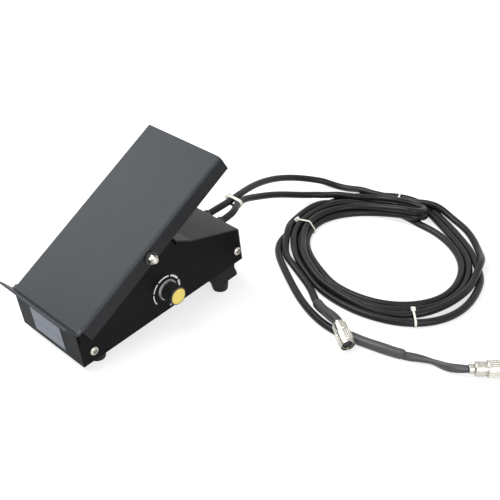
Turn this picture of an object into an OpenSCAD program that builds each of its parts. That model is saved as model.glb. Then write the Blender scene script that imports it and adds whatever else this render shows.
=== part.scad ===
// Foot pedal for a TIG welder: a rocking sheet-steel treadle on a folded housing.
// The treadle turns a potentiometer through a gear sector and works a snap switch.
// A knob on the right side sets the range, and two cables lead to round plugs.
// Lengths are in millimetres, +X is the knob side, +Y the toe and +Z up.

/* [Treadle] */
// Width over the two side flanges
pedal_w = 100; // [90:1:120]
// Length of the flat plate from heel to toe
pedal_l = 197.5; // [180:0.5:215]
// Thickness of the treadle sheet
pedal_t = 2; // [1.5:0.1:2.5]
// Outer radius of the treadle bends
pedal_bend_r = 3.5; // [3:0.1:5]
// Depth of the side flanges below the plate
flange_depth = 17.5; // [16:0.5:22]
// Slope of the treadle at rest, against the housing floor
pedal_angle = 25.4; // [22:0.1:28]
// Angle that the treadle turns when pressed right down
pedal_travel = 20; // [12:1:20]
// Height of the turned-up lip at the heel
lip_h = 16; // [10:0.5:22]
// Lean of the lip away from the foot
lip_lean = 9; // [0:1:20]
// Distance from the heel edge to the pivot along the plate
pivot_from_heel = 90; // [84:0.5:92]
// Distance from the plate's top down to the pivot
pivot_drop = 10.5; // [9.5:0.1:11.5]

/* [Housing] */
// Gap between each side wall and the treadle flange beside it
side_gap = 1.5; // [1:0.1:2.5]
// Length from front wall to rear wall
housing_l = 193; // [190:1:205]
// Thickness of the housing sheet
wall = 1.5; // [1.2:0.1:2]
// Distance of the pivot from the front wall
pivot_y = 87; // [86:0.5:90]
// Height of the pivot over the housing's lower edge
pivot_z = 68.6; // [67:0.1:70]
// Distance from the pivot back to the start of the rear cover
cover_front = 32; // [31:0.5:35]
// Height of the cover's front edge
cover_front_z = 67; // [65:0.5:67.5]
// Distance from the pivot back to the change of the cover's slope
cover_break = 49; // [45:0.5:53]
// Height of the cover where its slope changes
cover_break_z = 57; // [55:0.5:58]
// Height of the cover's rear edge
rear_h = 36.6; // [35:0.1:40]
// Outer radius of the cover's rear bend
cover_bend_r = 4; // [3:0.5:6]
// Length of the open corner slits in the front of the housing
slit_l = 10.5; // [5:0.5:14]

/* [Feet] */
// Forward tilt of the housing on its feet
base_tilt = 7.3; // [6.8:0.1:7.6]
// Height of the housing's front lower edge over the floor
front_lift = 5.5; // [5:0.1:7]
// Distance of the front feet from the front wall
front_foot_y = 21; // [18:0.5:26]
// Distance of the rear feet from the rear wall
rear_foot_in = 24; // [21:0.5:27]
// Distance of each foot from the inner face of its side wall
foot_in = 9; // [8.5:0.5:15]
// Height of the rear risers below the housing
riser_h = 16; // [12:0.5:18]

/* [Drive] */
// Gear module
gear_m = 1; // [1:0.05:1.05]
// Teeth that a whole sector gear would have
sector_z = 90; // [86:1:92]
// Teeth on the pinion
pinion_z = 15; // [14:1:16]
// Play between the meshing teeth, on the pitch circle
backlash = 0.2; // [0.1:0.05:0.3]
// Thickness of the gear sector
sector_t = 4; // [3:0.5:5]
// Lift of the switch cam over the whole travel
cam_rise = 2; // [1:0.1:2.2]
// Working length of the switch lever
lever_l = 16; // [15:0.5:17]

/* [Knob] */
// Distance of the range knob from the front wall
knob_y = 100; // [94:0.5:106]
// Height of the range knob over the housing's lower edge
knob_z = 22.3; // [18:0.1:26]
// Diameter of the knob
knob_d = 18.5; // [17:0.1:22]
// Distance that the knob stands out from the side wall
knob_reach = 16; // [15:0.1:19]
// Diameter of the yellow cap
cap_d = 15.5; // [13:0.1:16]

/* [Cables] */
// Diameter of each cable
cable_d = 7.4; // [6:0.1:8]
// Height of the cable boots on the rear wall
boot_z = 13; // [12.5:0.1:15]
// Length of the tapered boot behind the wall
boot_l = 20; // [20:1:30]
// Outer diameter of a plug's coupling ring
plug_d = 15; // [14:0.1:15.5]
// Length of a plug
plug_l = 30; // [29:0.5:34]

/* [Hidden] */
$fn = 48;

black_coat = [0.13, 0.135, 0.14];
cover_coat = [0.2, 0.205, 0.2];
zinc = [0.72, 0.73, 0.75];
nickel = [0.8, 0.8, 0.78];
soft_black = [0.06, 0.06, 0.06];
nylon = [0.9, 0.89, 0.84];
knob_yellow = [0.93, 0.82, 0.35];
pot_grey = [0.4, 0.42, 0.44];
switch_red = [0.55, 0.12, 0.1];
brass = [0.78, 0.62, 0.3];

// Clearances
run = 0.05;          // running fit, on the radius
slip = 0.15;         // pieces that slide together when assembled
air = 0.3;           // moving piece to fixed piece
lid_gap = 1;         // treadle underside to wall top

// Inner faces and other derived places of the housing
housing_w = pedal_w - 2 * (pedal_t + side_gap);
wall_x = housing_w / 2;
inner_x = wall_x - wall;
foot_x = inner_x - foot_in;
rear_foot_y = housing_l - rear_foot_in;
cover_front_y = pivot_y + cover_front;
cover_break_y = pivot_y + cover_break;
flange_x = pedal_w / 2 - pedal_t;
pedal_top = pivot_drop;
pedal_under = pivot_drop - pedal_t;
heel_y = -pivot_from_heel;
toe_y = pedal_l - pivot_from_heel;
wall_crown_r = pedal_under - lid_gap;
floor_z = 1;
plate_top = floor_z + wall;
cover_path = [[housing_l, 0], [housing_l, rear_h], [cover_break_y, cover_break_z],
    [cover_front_y, cover_front_z]];

// Standard fasteners
m4_d = 4;
m4_hole = 4.4;
m4_head_d = 8.4;
m4_head_h = 2.8;
m3_d = 3;
bolt_d = 5;
bolt_hole = 5.4;
hex_af = 8;
bolt_head_h = 4;
washer_d = 12.5;
washer_t = 1;
sleeve_d = 10;
bush_d = 9;
bush_collar_d = 14;
bush_stand = 0.2;
screw_front = [13, 11];
screw_rear = [housing_l - 6, 13];
tab_l = 14;

// Pivot stack, outwards from the treadle flange
bush_end = pedal_w / 2 + bush_stand;
stack_x = bush_end + slip;
nut_x = stack_x + washer_t;
nut_h = 4;
dome_r = 3.75;

// Gears
pressure_angle = 25;
sector_r = gear_m * sector_z / 2;
pinion_r = gear_m * pinion_z / 2;
pinion_at = [pivot_y, pivot_z - sector_r - pinion_r];
sector_x = -10;
sector_lo = -99;
sector_hi = -79 + pedal_travel;
hub_d = 16;
hub_bore = sleeve_d + 2 * run;
pinion_w = 6;
shaft_d = 6;
stop_d = 6;
stop_r = 36;
bracket_t = 1.5;
pot_d = 17;
pot_l = 10;
pot_bush_d = 7;

// Switch, in its own frame: the lever's pin is the origin, y runs to the lever's tip, z away from the cam
cam_dir = -150;
cam_r = 26;
cam_x = -25;
cam_t = 3;
tip_r = 2.4;
lever_t = 0.6;
lever_w = 5;
switch_gap = 3.5;
switch_l = 27.8;
switch_w = 10.3;
switch_h = 15.9;
plunger_y = 6;
plunger_d = 2.2;
tip_at = [pivot_y, pivot_z] + (cam_r + tip_r + air) * [cos(cam_dir), sin(cam_dir)];
lever_dir = cam_dir + 270;
lever_pin = tip_at - lever_l * [cos(lever_dir), sin(lever_dir)]
    + (tip_r - lever_t / 2) * [cos(cam_dir), sin(cam_dir)];

// Springs: they stand upright on the floor's frame, between the bridge and the treadle
spring_in = 17;      // spring axis to the inner face of its side wall
spring_x = inner_x - spring_in;
spring_y = pivot_y + 19;
bridge_z = 59;
bridge_t = 2;
bridge_w = 17;
spring_d = 12;
wire_d = 1.8;
spring_h = 22;
spring_turns = 5;
cup_d = 15;
cup_t = 1.2;

// Range potentiometer and knob
range_d = 24;
range_l = 10;
range_bush_d = 9;
range_bush_l = 7;
range_nut_af = 12;
pot_nut_af = 10;
range_nut_h = 2.5;
skirt_d = knob_d + 2.5;
skirt_t = 2;
knob_gap = 0.5;
knob_face = wall_x + knob_reach;
cap_t = 1.6;

// Cables: exit places on the rear wall, and routes as chosen points over the floor
boot_x = [-1, -20.5];
cable_r = cable_d / 2;
boot_bore = cable_d + 2 * slip;
boot_neck_d = 11;
boot_flange_d = 17;
coil_at = [106, 240];
coil_turn = -11;
coil_straight = 20;
coil_inner_r = 63;
coil_outer_r = 95;
coil_h = 15;
lead_a_free = [[-7, 138, 46.5], [-13, 149, 45.5], [-20.5, 160, 43.5], [-26, 174, 40.5], [-29.5, 191, 35],
    [-31, 210, 29], [-30, 231, 22.5], [-26, 252, 15.5], [-18, 272, 10.5], [-4, 288, 10.5], [15, 298, 13.5],
    [32, 302, 11]];
lead_b_free = [[-24.5, 141, 47], [-27.5, 155, 46], [-32.5, 170, 44], [-39, 189, 41], [-46, 212, 36.5],
    [-51, 237, 30.5], [-52, 262, 23.5], [-47, 286, 16], [-36, 306, 9.5], [-17, 319, 7], [7, 323, 9.5],
    [31, 321, 12], [48, 318, 10]];
tail_a_free = [[25, 185, 9], [34, 174, 8.5], [45, 165, 7.5], [62, 157.5, 5], [80, 150, 4], [101, 139.5, 4.2],
    [119.5, 126.5, 6], [132.5, 118.8, 9], [144.5, 113.2, 12.4]];
tail_b_free = [[24, 176, 4], [32, 167, 4], [44, 157, 4], [66, 143, 4], [93, 127, 4], [121, 114, 4],
    [150, 106.5, 4], [180, 108.5, 4], [207, 115, 4], [227, 121, 4], [240, 128, 4], [252, 132.5, 4],
    [263.5, 133.5, 5.2]];
plug_1_at = [162.1, 106.8, 15.6];
plug_1_dir = [0.85, -0.48, -0.22];
plug_2_at = [280.5, 141.5, 7.8];
plug_2_dir = [0.7, 0.714, 0];

// Shape helpers

function unit(v) = v / norm(v);
function left(v) = [-v[1], v[0]];
function back_to_front(list) = [for (i = [len(list) - 1:-1:0]) list[i]];

// Corner i of a folded path, pushed to the left of the path by d
function shifted(path, i, d) =
    let (last = len(path) - 1,
        a = unit(path[max(i, 1)] - path[max(i, 1) - 1]),
        b = unit(path[min(i, last - 1) + 1] - path[min(i, last - 1)]))
    path[i] + d * (left(a) + left(b)) / (1 + a * b);

// Points of the arc of radius r that rounds the corner q between p and s
function corner_arc(p, q, s, r, steps = 5) =
    let (a = unit(p - q),
        b = unit(s - q),
        half = acos(a * b) / 2,
        centre = q + unit(a + b) * r / sin(half),
        from = q + a * r / tan(half) - centre,
        sweep = (cross(q - p, s - q) > 0 ? 1 : -1) * (180 - 2 * half),
        start = atan2(from[1], from[0]))
    [for (k = [0:steps]) centre + r * [cos(start + sweep * k / steps), sin(start + sweep * k / steps)]];

// A closed outline with every corner rounded to radius r
function rounded(outline, r) =
    let (n = len(outline))
    [for (i = [0:n - 1]) each corner_arc(outline[(i + n - 1) % n], outline[i], outline[(i + 1) % n], r)];

// A path with its inner corners rounded: r_left where it turns left, r_right where it turns right
function rounded_path(path, r_left, r_right) =
    [path[0],
     for (i = [1:len(path) - 2])
        each corner_arc(path[i - 1], path[i], path[i + 1],
            cross(path[i] - path[i - 1], path[i + 1] - path[i]) > 0 ? r_left : r_right),
     path[len(path) - 1]];

// Outline of a sheet of thickness t that lies on the left of a folded path, outer bend radius r
function bent(path, t, r) =
    let (inside = [for (i = [0:len(path) - 1]) shifted(path, i, t)])
    concat(rounded_path(path, r, r - t), back_to_front(rounded_path(inside, r - t, r)));

// Half the angle of an involute tooth of a gear with z teeth, at the radius r
function involute(a) = tan(a) - a * PI / 180;
function tooth_half(z, r) =
    let (pitch_r = gear_m * z / 2,
        base_r = pitch_r * cos(pressure_angle),
        flank = acos(min(1, base_r / r)),
        play = backlash / 4 / pitch_r)
    (PI / 2 / z - play + involute(pressure_angle) - involute(flank)) * 180 / PI;

// Outline of one tooth pointing along the direction dir, from root to root
function tooth(z, dir) =
    let (pitch_r = gear_m * z / 2,
        root_r = pitch_r - 1.25 * gear_m,
        tip_radius = pitch_r + 0.95 * gear_m,
        side = [for (k = [0:5]) let (r = root_r + (tip_radius - root_r) * k / 5) [r, tooth_half(z, r)]])
    concat([for (p = side) p[0] * [cos(dir - p[1]), sin(dir - p[1])]],
        back_to_front([for (p = side) p[0] * [cos(dir + p[1]), sin(dir + p[1])]]));

// Directions along a route, and side vectors that turn with it as little as they can
function directions(route) =
    let (last = len(route) - 1)
    [for (i = [0:last]) unit(route[min(i + 1, last)] - route[max(i - 1, 0)])];
function upright(v, d) = unit(v - (v * d) * d);
function sides(dirs) =
    [for (i = 0, u = upright([0.3, 0.2, 1], dirs[0]); i < len(dirs);
        i = i + 1, u = i < len(dirs) ? upright(u, dirs[i]) : u) u];

// Round tube of radius r along a route
module tube(route, r, count) {
    dirs = directions(route);
    us = sides(dirs);
    rings = len(route);
    points = [for (i = [0:rings - 1], j = [0:count - 1])
        route[i] + r * (cos(360 * j / count) * us[i] + sin(360 * j / count) * cross(dirs[i], us[i]))];
    walls = [for (i = [0:rings - 2], j = [0:count - 1])
        [i * count + j, (i + 1) * count + j, (i + 1) * count + (j + 1) % count, i * count + (j + 1) % count]];
    first = [for (j = [0:count - 1]) j];
    last = [for (j = [0:count - 1]) rings * count - 1 - j];
    polyhedron(points, concat([first], walls, [last]));
}

// Places the housing's frame on the floor. The origin is under the middle of the object's box.
function on_floor(p) =
    [p[0] * cos(base_tilt) - p[1] * sin(base_tilt), p[0] * sin(base_tilt) + p[1] * cos(base_tilt)];
lip_turn = pedal_angle + lip_lean;
lip_tip = [pivot_y, pivot_z]
    + heel_y * [cos(pedal_angle), sin(pedal_angle)] + pedal_top * [-sin(pedal_angle), cos(pedal_angle)]
    + lip_h * [-sin(lip_turn), cos(lip_turn)] - pedal_t * [cos(lip_turn), sin(lip_turn)];
box_x = [-nut_x - bolt_head_h, max(knob_face, nut_x + nut_h + dome_r)];
box_y = [on_floor(lip_tip)[0], on_floor([housing_l, 0])[0]];
origin = [(box_x[0] + box_x[1]) / 2, (box_y[0] + box_y[1]) / 2];
floor_shift = [-origin[0], -origin[1], front_lift];
module seated() {
    translate(floor_shift) rotate([base_tilt, 0, 0]) children();
}
module on_treadle() {
    seated() translate([0, pivot_y, pivot_z]) rotate([pedal_angle, 0, 0]) children();
}
module at_switch() {
    seated() translate([cam_x, lever_pin[0], lever_pin[1]]) rotate([lever_dir, 0, 0]) children();
}
module at_plug(place, dir) {
    d = unit(dir);
    translate(place) rotate([0, acos(d[2]), atan2(d[1], d[0])]) children();
}
module above_floor() {
    intersection() {
        children();
        translate([-500, -500, 0]) cube([1000, 1000, 500]);
    }
}

// Extrudes a drawing in the y-z plane across the width, from x by w
module across(x, w) {
    translate([x, 0, 0]) rotate([90, 0, 90]) linear_extrude(w) children();
}
// A round bar across the width, at the place p in the y-z plane
module bar(p, x, l, d) {
    translate([x, p[0], p[1]]) rotate([0, 90, 0]) cylinder(d = d, h = l);
}
module hex_bar(p, x, l, af) {
    translate([x, p[0], p[1]]) rotate([0, 90, 0]) cylinder(d = af / cos(30), h = l, $fn = 6);
}
module both_sides() {
    children();
    mirror([1, 0, 0]) children();
}

// Housing

function crown(angle) = [pivot_y, pivot_z] + wall_crown_r * [cos(angle), sin(angle)];
function wall_outline() =
    let (inner = [for (i = [0:3]) shifted(cover_path, i, wall)],
        reach = inner[3] - [pivot_y, pivot_z],
        crown_from = atan2(reach[1], reach[0]) + acos(wall_crown_r / norm(reach)),
        crown_to = 90 + pedal_angle,
        front_z = pivot_z + wall_crown_r / cos(pedal_angle) - pivot_y * tan(pedal_angle))
    concat([[0, 0], inner[0], inner[1], inner[2], inner[3]],
        [for (k = [0:6]) crown(crown_from + (crown_to - crown_from) * k / 6)],
        [[0, front_z]]);
front_top = pivot_z + wall_crown_r / cos(pedal_angle) - pivot_y * tan(pedal_angle);

// Welded shell: two side walls and the front wall, with open slits at the top of the front corners
module housing() {
    relief_w = 1;
    notch = [2.5, 3];
    color(black_coat) seated() difference() {
        union() {
            both_sides() across(inner_x, wall) polygon(wall_outline());
            translate([-wall_x, 0, 0]) cube([housing_w, wall, front_top]);
        }
        bar([pivot_y, pivot_z], -wall_x - 1, housing_w + 2, bolt_hole);
        for (p = [screw_front, screw_rear]) bar(p, -wall_x - 1, housing_w + 2, m4_hole);
        bar([knob_y, knob_z], 0, wall_x + 1, range_bush_d + 2 * slip);
        both_sides() translate([inner_x - 1, wall, front_top - slit_l]) cube([wall + 2, relief_w, slit_l + 2]);
        both_sides() translate([inner_x - 1, cover_front_y - notch[0], cover_front_z - wall - notch[1]])
            cube([wall + 2, notch[0], notch[1] + 10]);
    }
}

// Floor sheet with turned-up tabs for the front side screws and a low rear flange
module bottom_plate() {
    half = inner_x - slip;
    rear = housing_l - wall - slip;
    tab = [wall, tab_l, 16];
    color(black_coat) seated() difference() {
        union() {
            translate([-half, wall + slip, floor_z]) cube([2 * half, rear - wall - slip, wall]);
            translate([-half, rear - wall, floor_z]) cube([2 * half, wall, 4]);
            both_sides() translate([half - tab[0], screw_front[0] - tab_l / 2, floor_z]) cube(tab);
        }
        bar(screw_front, -wall_x, housing_w, m4_d + 2 * run);
        both_sides() for (y = [front_foot_y, rear_foot_y])
            translate([foot_x, y, 0]) cylinder(d = m4_hole, h = 10);
    }
}

// Folded lid: rear wall, long slope and short steep front, with tabs for the rear side screws
module rear_cover() {
    tab_h = 14;
    color(cover_coat) seated() difference() {
        union() {
            across(-wall_x, housing_w) polygon(bent(cover_path, wall, cover_bend_r));
            both_sides()
                translate([inner_x - slip - wall, housing_l - wall - tab_l, screw_rear[1] - tab_h / 2])
                cube([wall, tab_l + wall / 2, tab_h]);
        }
        for (x = boot_x) translate([x, housing_l + 1, boot_z]) rotate([90, 0, 0])
            cylinder(d = boot_neck_d, h = wall + 2);
        bar(screw_rear, -wall_x, housing_w, m4_d + 2 * run);
    }
}

// Pan head with its shank; the head's seat is at z = 0 and the shank goes down
module pan_screw(d, head_d, head_h, l) {
    rotate_extrude() polygon(concat([[0, -l], [d / 2, -l], [d / 2, 0], [head_d / 2, 0]],
        [for (k = [0:6]) [head_d / 2 * cos(15 * k), head_h * (0.35 + 0.65 * sin(15 * k))]]));
}
module side_screws() {
    shank = 6;
    color(zinc) seated() both_sides() for (p = [screw_front, screw_rear])
        translate([wall_x, p[0], p[1]]) rotate([0, 90, 0]) pan_screw(m4_d, m4_head_d, m4_head_h, shank);
}

// Feet

// Turned rubber foot hanging from z = 0, with a rounded sole and a bore for its screw
module rubber_foot(top_d, sole_d, h, bore_h) {
    sole_r = 2;
    difference() {
        rotate_extrude() polygon(concat([[0, 0], [top_d / 2, 0], [top_d / 2, -1.5]],
            corner_arc([top_d / 2, -1.5], [sole_d / 2, -h], [0, -h], sole_r), [[0, -h]]));
        translate([0, 0, -bore_h]) cylinder(d = m4_d + 2 * slip, h = bore_h + 1);
    }
}
// Depth from the housing's lower edge down to the floor, at the distance y from the front
function floor_depth(y) = (front_lift + y * sin(base_tilt)) / cos(base_tilt);
sole_spare = 2.5;
module front_feet() {
    color(soft_black) above_floor() seated() both_sides() translate([foot_x, front_foot_y, floor_z])
        rubber_foot(16.5, 14.5, floor_z + floor_depth(front_foot_y) + sole_spare - 1.5, 5);
}
module rear_feet() {
    color(soft_black) above_floor() seated() both_sides() translate([foot_x, rear_foot_y, -riser_h])
        rubber_foot(18, 14.5, floor_depth(rear_foot_y) - riser_h + sole_spare - 1.5, 5);
}
// Moulded blocks that raise the rear; the rear end is hollowed above its foot
module rear_risers() {
    riser_front = rear_foot_y - 9.5;
    riser_rear = rear_foot_y + 16;
    inboard = foot_x - 12;
    outline = [[riser_front, floor_z], [riser_rear - 1, floor_z], [riser_rear - 2, -riser_h * 0.35],
        [riser_rear, -riser_h * 0.8], [riser_rear, -riser_h], [riser_front, -riser_h]];
    color(soft_black) seated() both_sides() difference() {
        across(inboard, inner_x - slip - inboard) polygon(rounded(outline, 0.8));
        translate([foot_x, rear_foot_y, -riser_h - 1]) cylinder(d = m4_d + 2 * slip, h = riser_h + 3);
    }
}
module foot_screws() {
    color(zinc) seated() both_sides() {
        translate([foot_x, front_foot_y, plate_top]) pan_screw(m4_d, m4_head_d, m4_head_h, 5);
        translate([foot_x, rear_foot_y, plate_top]) pan_screw(m4_d, m4_head_d, m4_head_h, riser_h + 5);
    }
}

// Pivot

module pivot_bolt() {
    color(zinc) seated() union() {
        bar([pivot_y, pivot_z], -nut_x, 2 * nut_x + nut_h - 1, bolt_d);
        hex_bar([pivot_y, pivot_z], -nut_x - bolt_head_h, bolt_head_h, hex_af);
    }
}
module pivot_sleeve() {
    color(zinc) seated() difference() {
        bar([pivot_y, pivot_z], -inner_x, 2 * inner_x, sleeve_d);
        bar([pivot_y, pivot_z], -wall_x, housing_w, bolt_d + 2 * slip);
    }
}
module pivot_washers() {
    color(zinc) seated() both_sides() difference() {
        bar([pivot_y, pivot_z], stack_x, washer_t, washer_d);
        bar([pivot_y, pivot_z], stack_x - 1, washer_t + 2, bolt_d + 2 * slip);
    }
}
// Domed nut on the knob side
module pivot_nut() {
    color(nickel) seated() difference() {
        union() {
            hex_bar([pivot_y, pivot_z], nut_x, nut_h, hex_af);
            translate([nut_x + nut_h, pivot_y, pivot_z]) sphere(r = dome_r);
        }
        bar([pivot_y, pivot_z], nut_x - 1, nut_h + 1.5, bolt_d + 2 * run);
    }
}
// Flanged nylon bushes pressed into the treadle flanges
module pivot_bushes() {
    color(nylon) on_treadle() both_sides() difference() {
        union() {
            bar([0, 0], flange_x, bush_end - flange_x, bush_d);
            bar([0, 0], wall_x + air, flange_x - wall_x - air, bush_collar_d);
        }
        bar([0, 0], wall_x, pedal_w, bolt_d + 2 * run);
    }
}

// Treadle

module pedal() {
    relief = 4;
    low = pedal_top - flange_depth;
    half = pedal_w / 2;
    channel = [[half, low], [half, pedal_top], [-half, pedal_top], [-half, low]];
    lip = [[heel_y + relief + 0.5, pedal_top], [heel_y, pedal_top],
        [heel_y - lip_h * sin(lip_lean), pedal_top + lip_h * cos(lip_lean)]];
    color(black_coat) on_treadle() difference() {
        union() {
            translate([0, toe_y, 0]) rotate([90, 0, 0]) linear_extrude(pedal_l - relief)
                polygon(bent(channel, pedal_t, pedal_bend_r));
            across(-half, pedal_w) polygon(bent(lip, pedal_t, pedal_bend_r));
        }
        bar([0, 0], -half - 1, pedal_w + 2, bush_d + 2 * run);
    }
}

// Arm with a foot under the treadle and a hub on the pivot sleeve, both cut for the sleeve
module hub_arm(x, t, foot_l) {
    arm_half = 7;
    foot_t = 2;
    boss = 0.6;
    difference() {
        union() {
            bar([0, 0], x - t / 2 - boss, t + 2 * boss, hub_d);
            translate([x - t / 2, -arm_half, 0]) cube([t, 2 * arm_half, pedal_under]);
            translate([x - t / 2, -arm_half, pedal_under - foot_t]) cube([t + foot_l, 2 * arm_half, foot_t]);
            children();
        }
        bar([0, 0], x - t, 2 * t, hub_bore);
    }
}

// Toothed fan that turns the foot potentiometer
module gear_sector() {
    root_r = sector_r - 1.25 * gear_m;
    pitch_angle = 360 / sector_z;
    ends = [for (a = [sector_lo, sector_hi]) root_r * [cos(a), sin(a)]];
    first = ceil((sector_lo + 90) / pitch_angle + 0.5);
    last = floor((sector_hi + 90) / pitch_angle - 0.5);
    mid = (sector_lo + sector_hi) / 2;
    color(nylon) on_treadle() hub_arm(sector_x, sector_t, 10) {
        rotate([-pedal_angle, 0, 0]) difference() {
            across(sector_x - sector_t / 2, sector_t) polygon(concat([[0, 0], ends[0]],
                [for (i = [first:last]) each tooth(sector_z, -90 + i * pitch_angle)], [ends[1]]));
            bar(0.62 * sector_r * [cos(mid), sin(mid)], sector_x - sector_t, 2 * sector_t, 11);
        }
    }
}

// Spiral cam that lifts the switch lever evenly as the treadle goes down
module switch_cam() {
    spare = 9;
    from = cam_dir - spare;
    span = pedal_travel + 2 * spare;
    edge = [for (k = [0:10])
        let (a = from + span * k / 10)
        (cam_r + cam_rise * (a - cam_dir) / pedal_travel) * [cos(a), sin(a)]];
    color(nylon) on_treadle() hub_arm(cam_x, cam_t, 8) {
        rotate([-pedal_angle, 0, 0]) across(cam_x - cam_t / 2, cam_t) polygon(concat([[0, 0]], edge));
    }
}

// Foot potentiometer and its bracket

function stop_place(edge_angle, way) =
    let (a = edge_angle + way * asin((stop_d / 2 + air) / stop_r))
    [pivot_y, pivot_z] + stop_r * [cos(a), sin(a)];
stops = [stop_place(sector_hi, 1), stop_place(sector_lo - pedal_travel, -1)];
bracket_x = 0;
module pot_bracket() {
    margin = 6;
    low_y = stops[1][0] - margin;
    high_y = stops[0][0] + margin;
    top_z = stops[0][1] + margin;
    window = 14;
    outline = rounded([[low_y, plate_top], [high_y, plate_top], [high_y, top_z], [pivot_y + window, top_z],
        [pivot_y + window, pinion_at[1] + 12], [pivot_y - window, pinion_at[1] + 12],
        [pivot_y - window, top_z], [low_y, top_z]], 1.5);
    color(zinc) seated() difference() {
        union() {
            across(bracket_x - bracket_t, bracket_t) polygon(outline);
            translate([bracket_x - bracket_t, low_y + 2, plate_top]) cube([16, high_y - low_y - 4, bracket_t]);
        }
        bar(pinion_at, bracket_x - 5, 10, pot_bush_d + 2 * slip);
        for (p = stops) bar(p, bracket_x - 5, 10, m3_d);
    }
}
// Rubber sleeves on the bracket that stop the sector at both ends of its travel
module travel_stops() {
    color(soft_black) seated() for (p = stops) {
        bar(p, sector_x - sector_t / 2 - 1, bracket_x - bracket_t - sector_x + sector_t / 2 + 1, stop_d);
        bar(p, bracket_x - bracket_t - 1, bracket_t + 2, m3_d - 2 * run);
    }
}
// Body, bush and solder tags of a potentiometer whose front face is at x = 0, body towards +X
module potentiometer(d, l, thread_d, thread_l) {
    tag = [0.6, 2, 5];
    difference() {
        union() {
            rotate([0, 90, 0]) cylinder(d = d, h = l);
            translate([-thread_l, 0, 0]) rotate([0, 90, 0]) cylinder(d = thread_d, h = thread_l + 1);
            for (k = [-1:1]) translate([l * 0.45, k * 5 - tag[1] / 2, d / 2 - 2]) cube(tag + [0, 0, 2]);
        }
        translate([-thread_l - 1, 0, 0]) rotate([0, 90, 0])
            cylinder(d = shaft_d + 2 * run, h = thread_l + l * 0.6);
    }
}
module foot_pot() {
    color(pot_grey) seated() translate([bracket_x, pinion_at[0], pinion_at[1]]) rotate([60, 0, 0])
        potentiometer(pot_d, pot_l, pot_bush_d, 5);
}
module foot_pot_nut() {
    color(brass) seated() difference() {
        hex_bar(pinion_at, bracket_x - bracket_t - 2, 2, pot_nut_af);
        bar(pinion_at, bracket_x - 10, 20, pot_bush_d + 2 * run);
    }
}
pinion_x = sector_x - pinion_w / 2;
module foot_pot_shaft() {
    color(brass) seated() bar(pinion_at, pinion_x - 1, bracket_x - pinion_x + 4, shaft_d);
}
module pinion() {
    color(nylon) seated() difference() {
        translate([0, pinion_at[0], pinion_at[1]]) across(pinion_x, pinion_w)
            polygon([for (i = [0:pinion_z - 1]) each tooth(pinion_z, 90 + (i + 0.5) * 360 / pinion_z)]);
        bar(pinion_at, pinion_x - 1, pinion_w + 2, shaft_d + 2 * run);
    }
}

// Range potentiometer and knob

module at_knob() {
    seated() translate([wall_x, knob_y, knob_z]) rotate([0, 90, 0]) children();
}
module range_pot() {
    color(pot_grey) seated() translate([inner_x, knob_y, knob_z]) mirror([1, 0, 0]) rotate([180, 0, 0])
        potentiometer(range_d, range_l, range_bush_d, range_bush_l);
}
module range_pot_nut() {
    color(brass) at_knob() difference() {
        union() {
            cylinder(d = range_nut_af + 2, h = 0.6);
            cylinder(d = range_nut_af / cos(30), h = range_nut_h, $fn = 6);
        }
        translate([0, 0, -1]) cylinder(d = range_bush_d + 2 * run, h = range_nut_h + 2);
    }
}
module range_shaft() {
    color(brass) at_knob() translate([0, 0, -wall - range_l * 0.5]) cylinder(d = shaft_d,
        h = knob_reach - cap_t - 1 + wall + range_l * 0.5);
}
module knob_skirt() {
    color(nickel) at_knob() translate([0, 0, knob_gap]) difference() {
        cylinder(d1 = skirt_d, d2 = skirt_d - 1.5, h = skirt_t);
        translate([0, 0, -1]) cylinder(d = range_nut_af / cos(30) + 2.6, h = skirt_t + 2);
    }
}
// Fluted grip, hollow over the nut, with a seat for the cap
module knob_body() {
    flutes = 20;
    flute_d = 1.6;
    low = knob_gap + skirt_t;
    grip_l = knob_reach - low;
    bush_end = range_bush_l - wall;
    color(soft_black) at_knob() difference() {
        translate([0, 0, low]) rotate_extrude() polygon([[0, 0], [knob_d / 2, 0],
            [knob_d / 2 - 0.4, grip_l - 1], [knob_d / 2 - 1.2, grip_l], [0, grip_l]]);
        translate([0, 0, low - 1]) cylinder(d = range_bush_d + 1, h = bush_end - low + 2);
        cylinder(d = shaft_d + 2 * run, h = knob_reach - cap_t - 0.8);
        translate([0, 0, knob_reach - cap_t]) cylinder(d = cap_d + 2 * run, h = cap_t + 1);
        for (i = [0:flutes - 1]) rotate(360 * i / flutes) translate([knob_d / 2 + 0.35, 0, low + 1.5])
            cylinder(d = flute_d, h = knob_reach);
    }
}
module knob_cap() {
    color(knob_yellow) at_knob() translate([0, 0, knob_reach - cap_t]) rotate_extrude()
        polygon([[0, 0], [cap_d / 2, 0], [cap_d / 2, cap_t - 0.4], [cap_d / 2 - 0.5, cap_t], [0, cap_t]]);
}

// Snap switch

module switch_body() {
    back = 4.5;
    ear = [1, 4, 4.4];
    ear_x = lever_w / 2 + air;
    tag = [4, 0.8, 6];
    color(switch_red) at_switch() difference() {
        union() {
            translate([-switch_w / 2, -back, switch_gap]) cube([switch_w, switch_l, switch_h]);
            both_sides() translate([ear_x, -ear[1] / 2, -1.2]) cube([ear[0], ear[1], ear[2] + 1]);
            bar([0, 0], -ear_x - ear[0], 2 * (ear_x + ear[0]), 1.4);
            for (y = [1, 10, 19]) translate([-tag[0] / 2, y, switch_gap + switch_h - 1]) cube(tag);
        }
        for (p = [[2.5, 8], [20, 13]]) bar(p, -switch_w, 2 * switch_w, m3_d + 2 * slip);
        translate([0, plunger_y, switch_gap - 1]) cylinder(d = plunger_d + 2 * slip, h = 5);
    }
}
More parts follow.
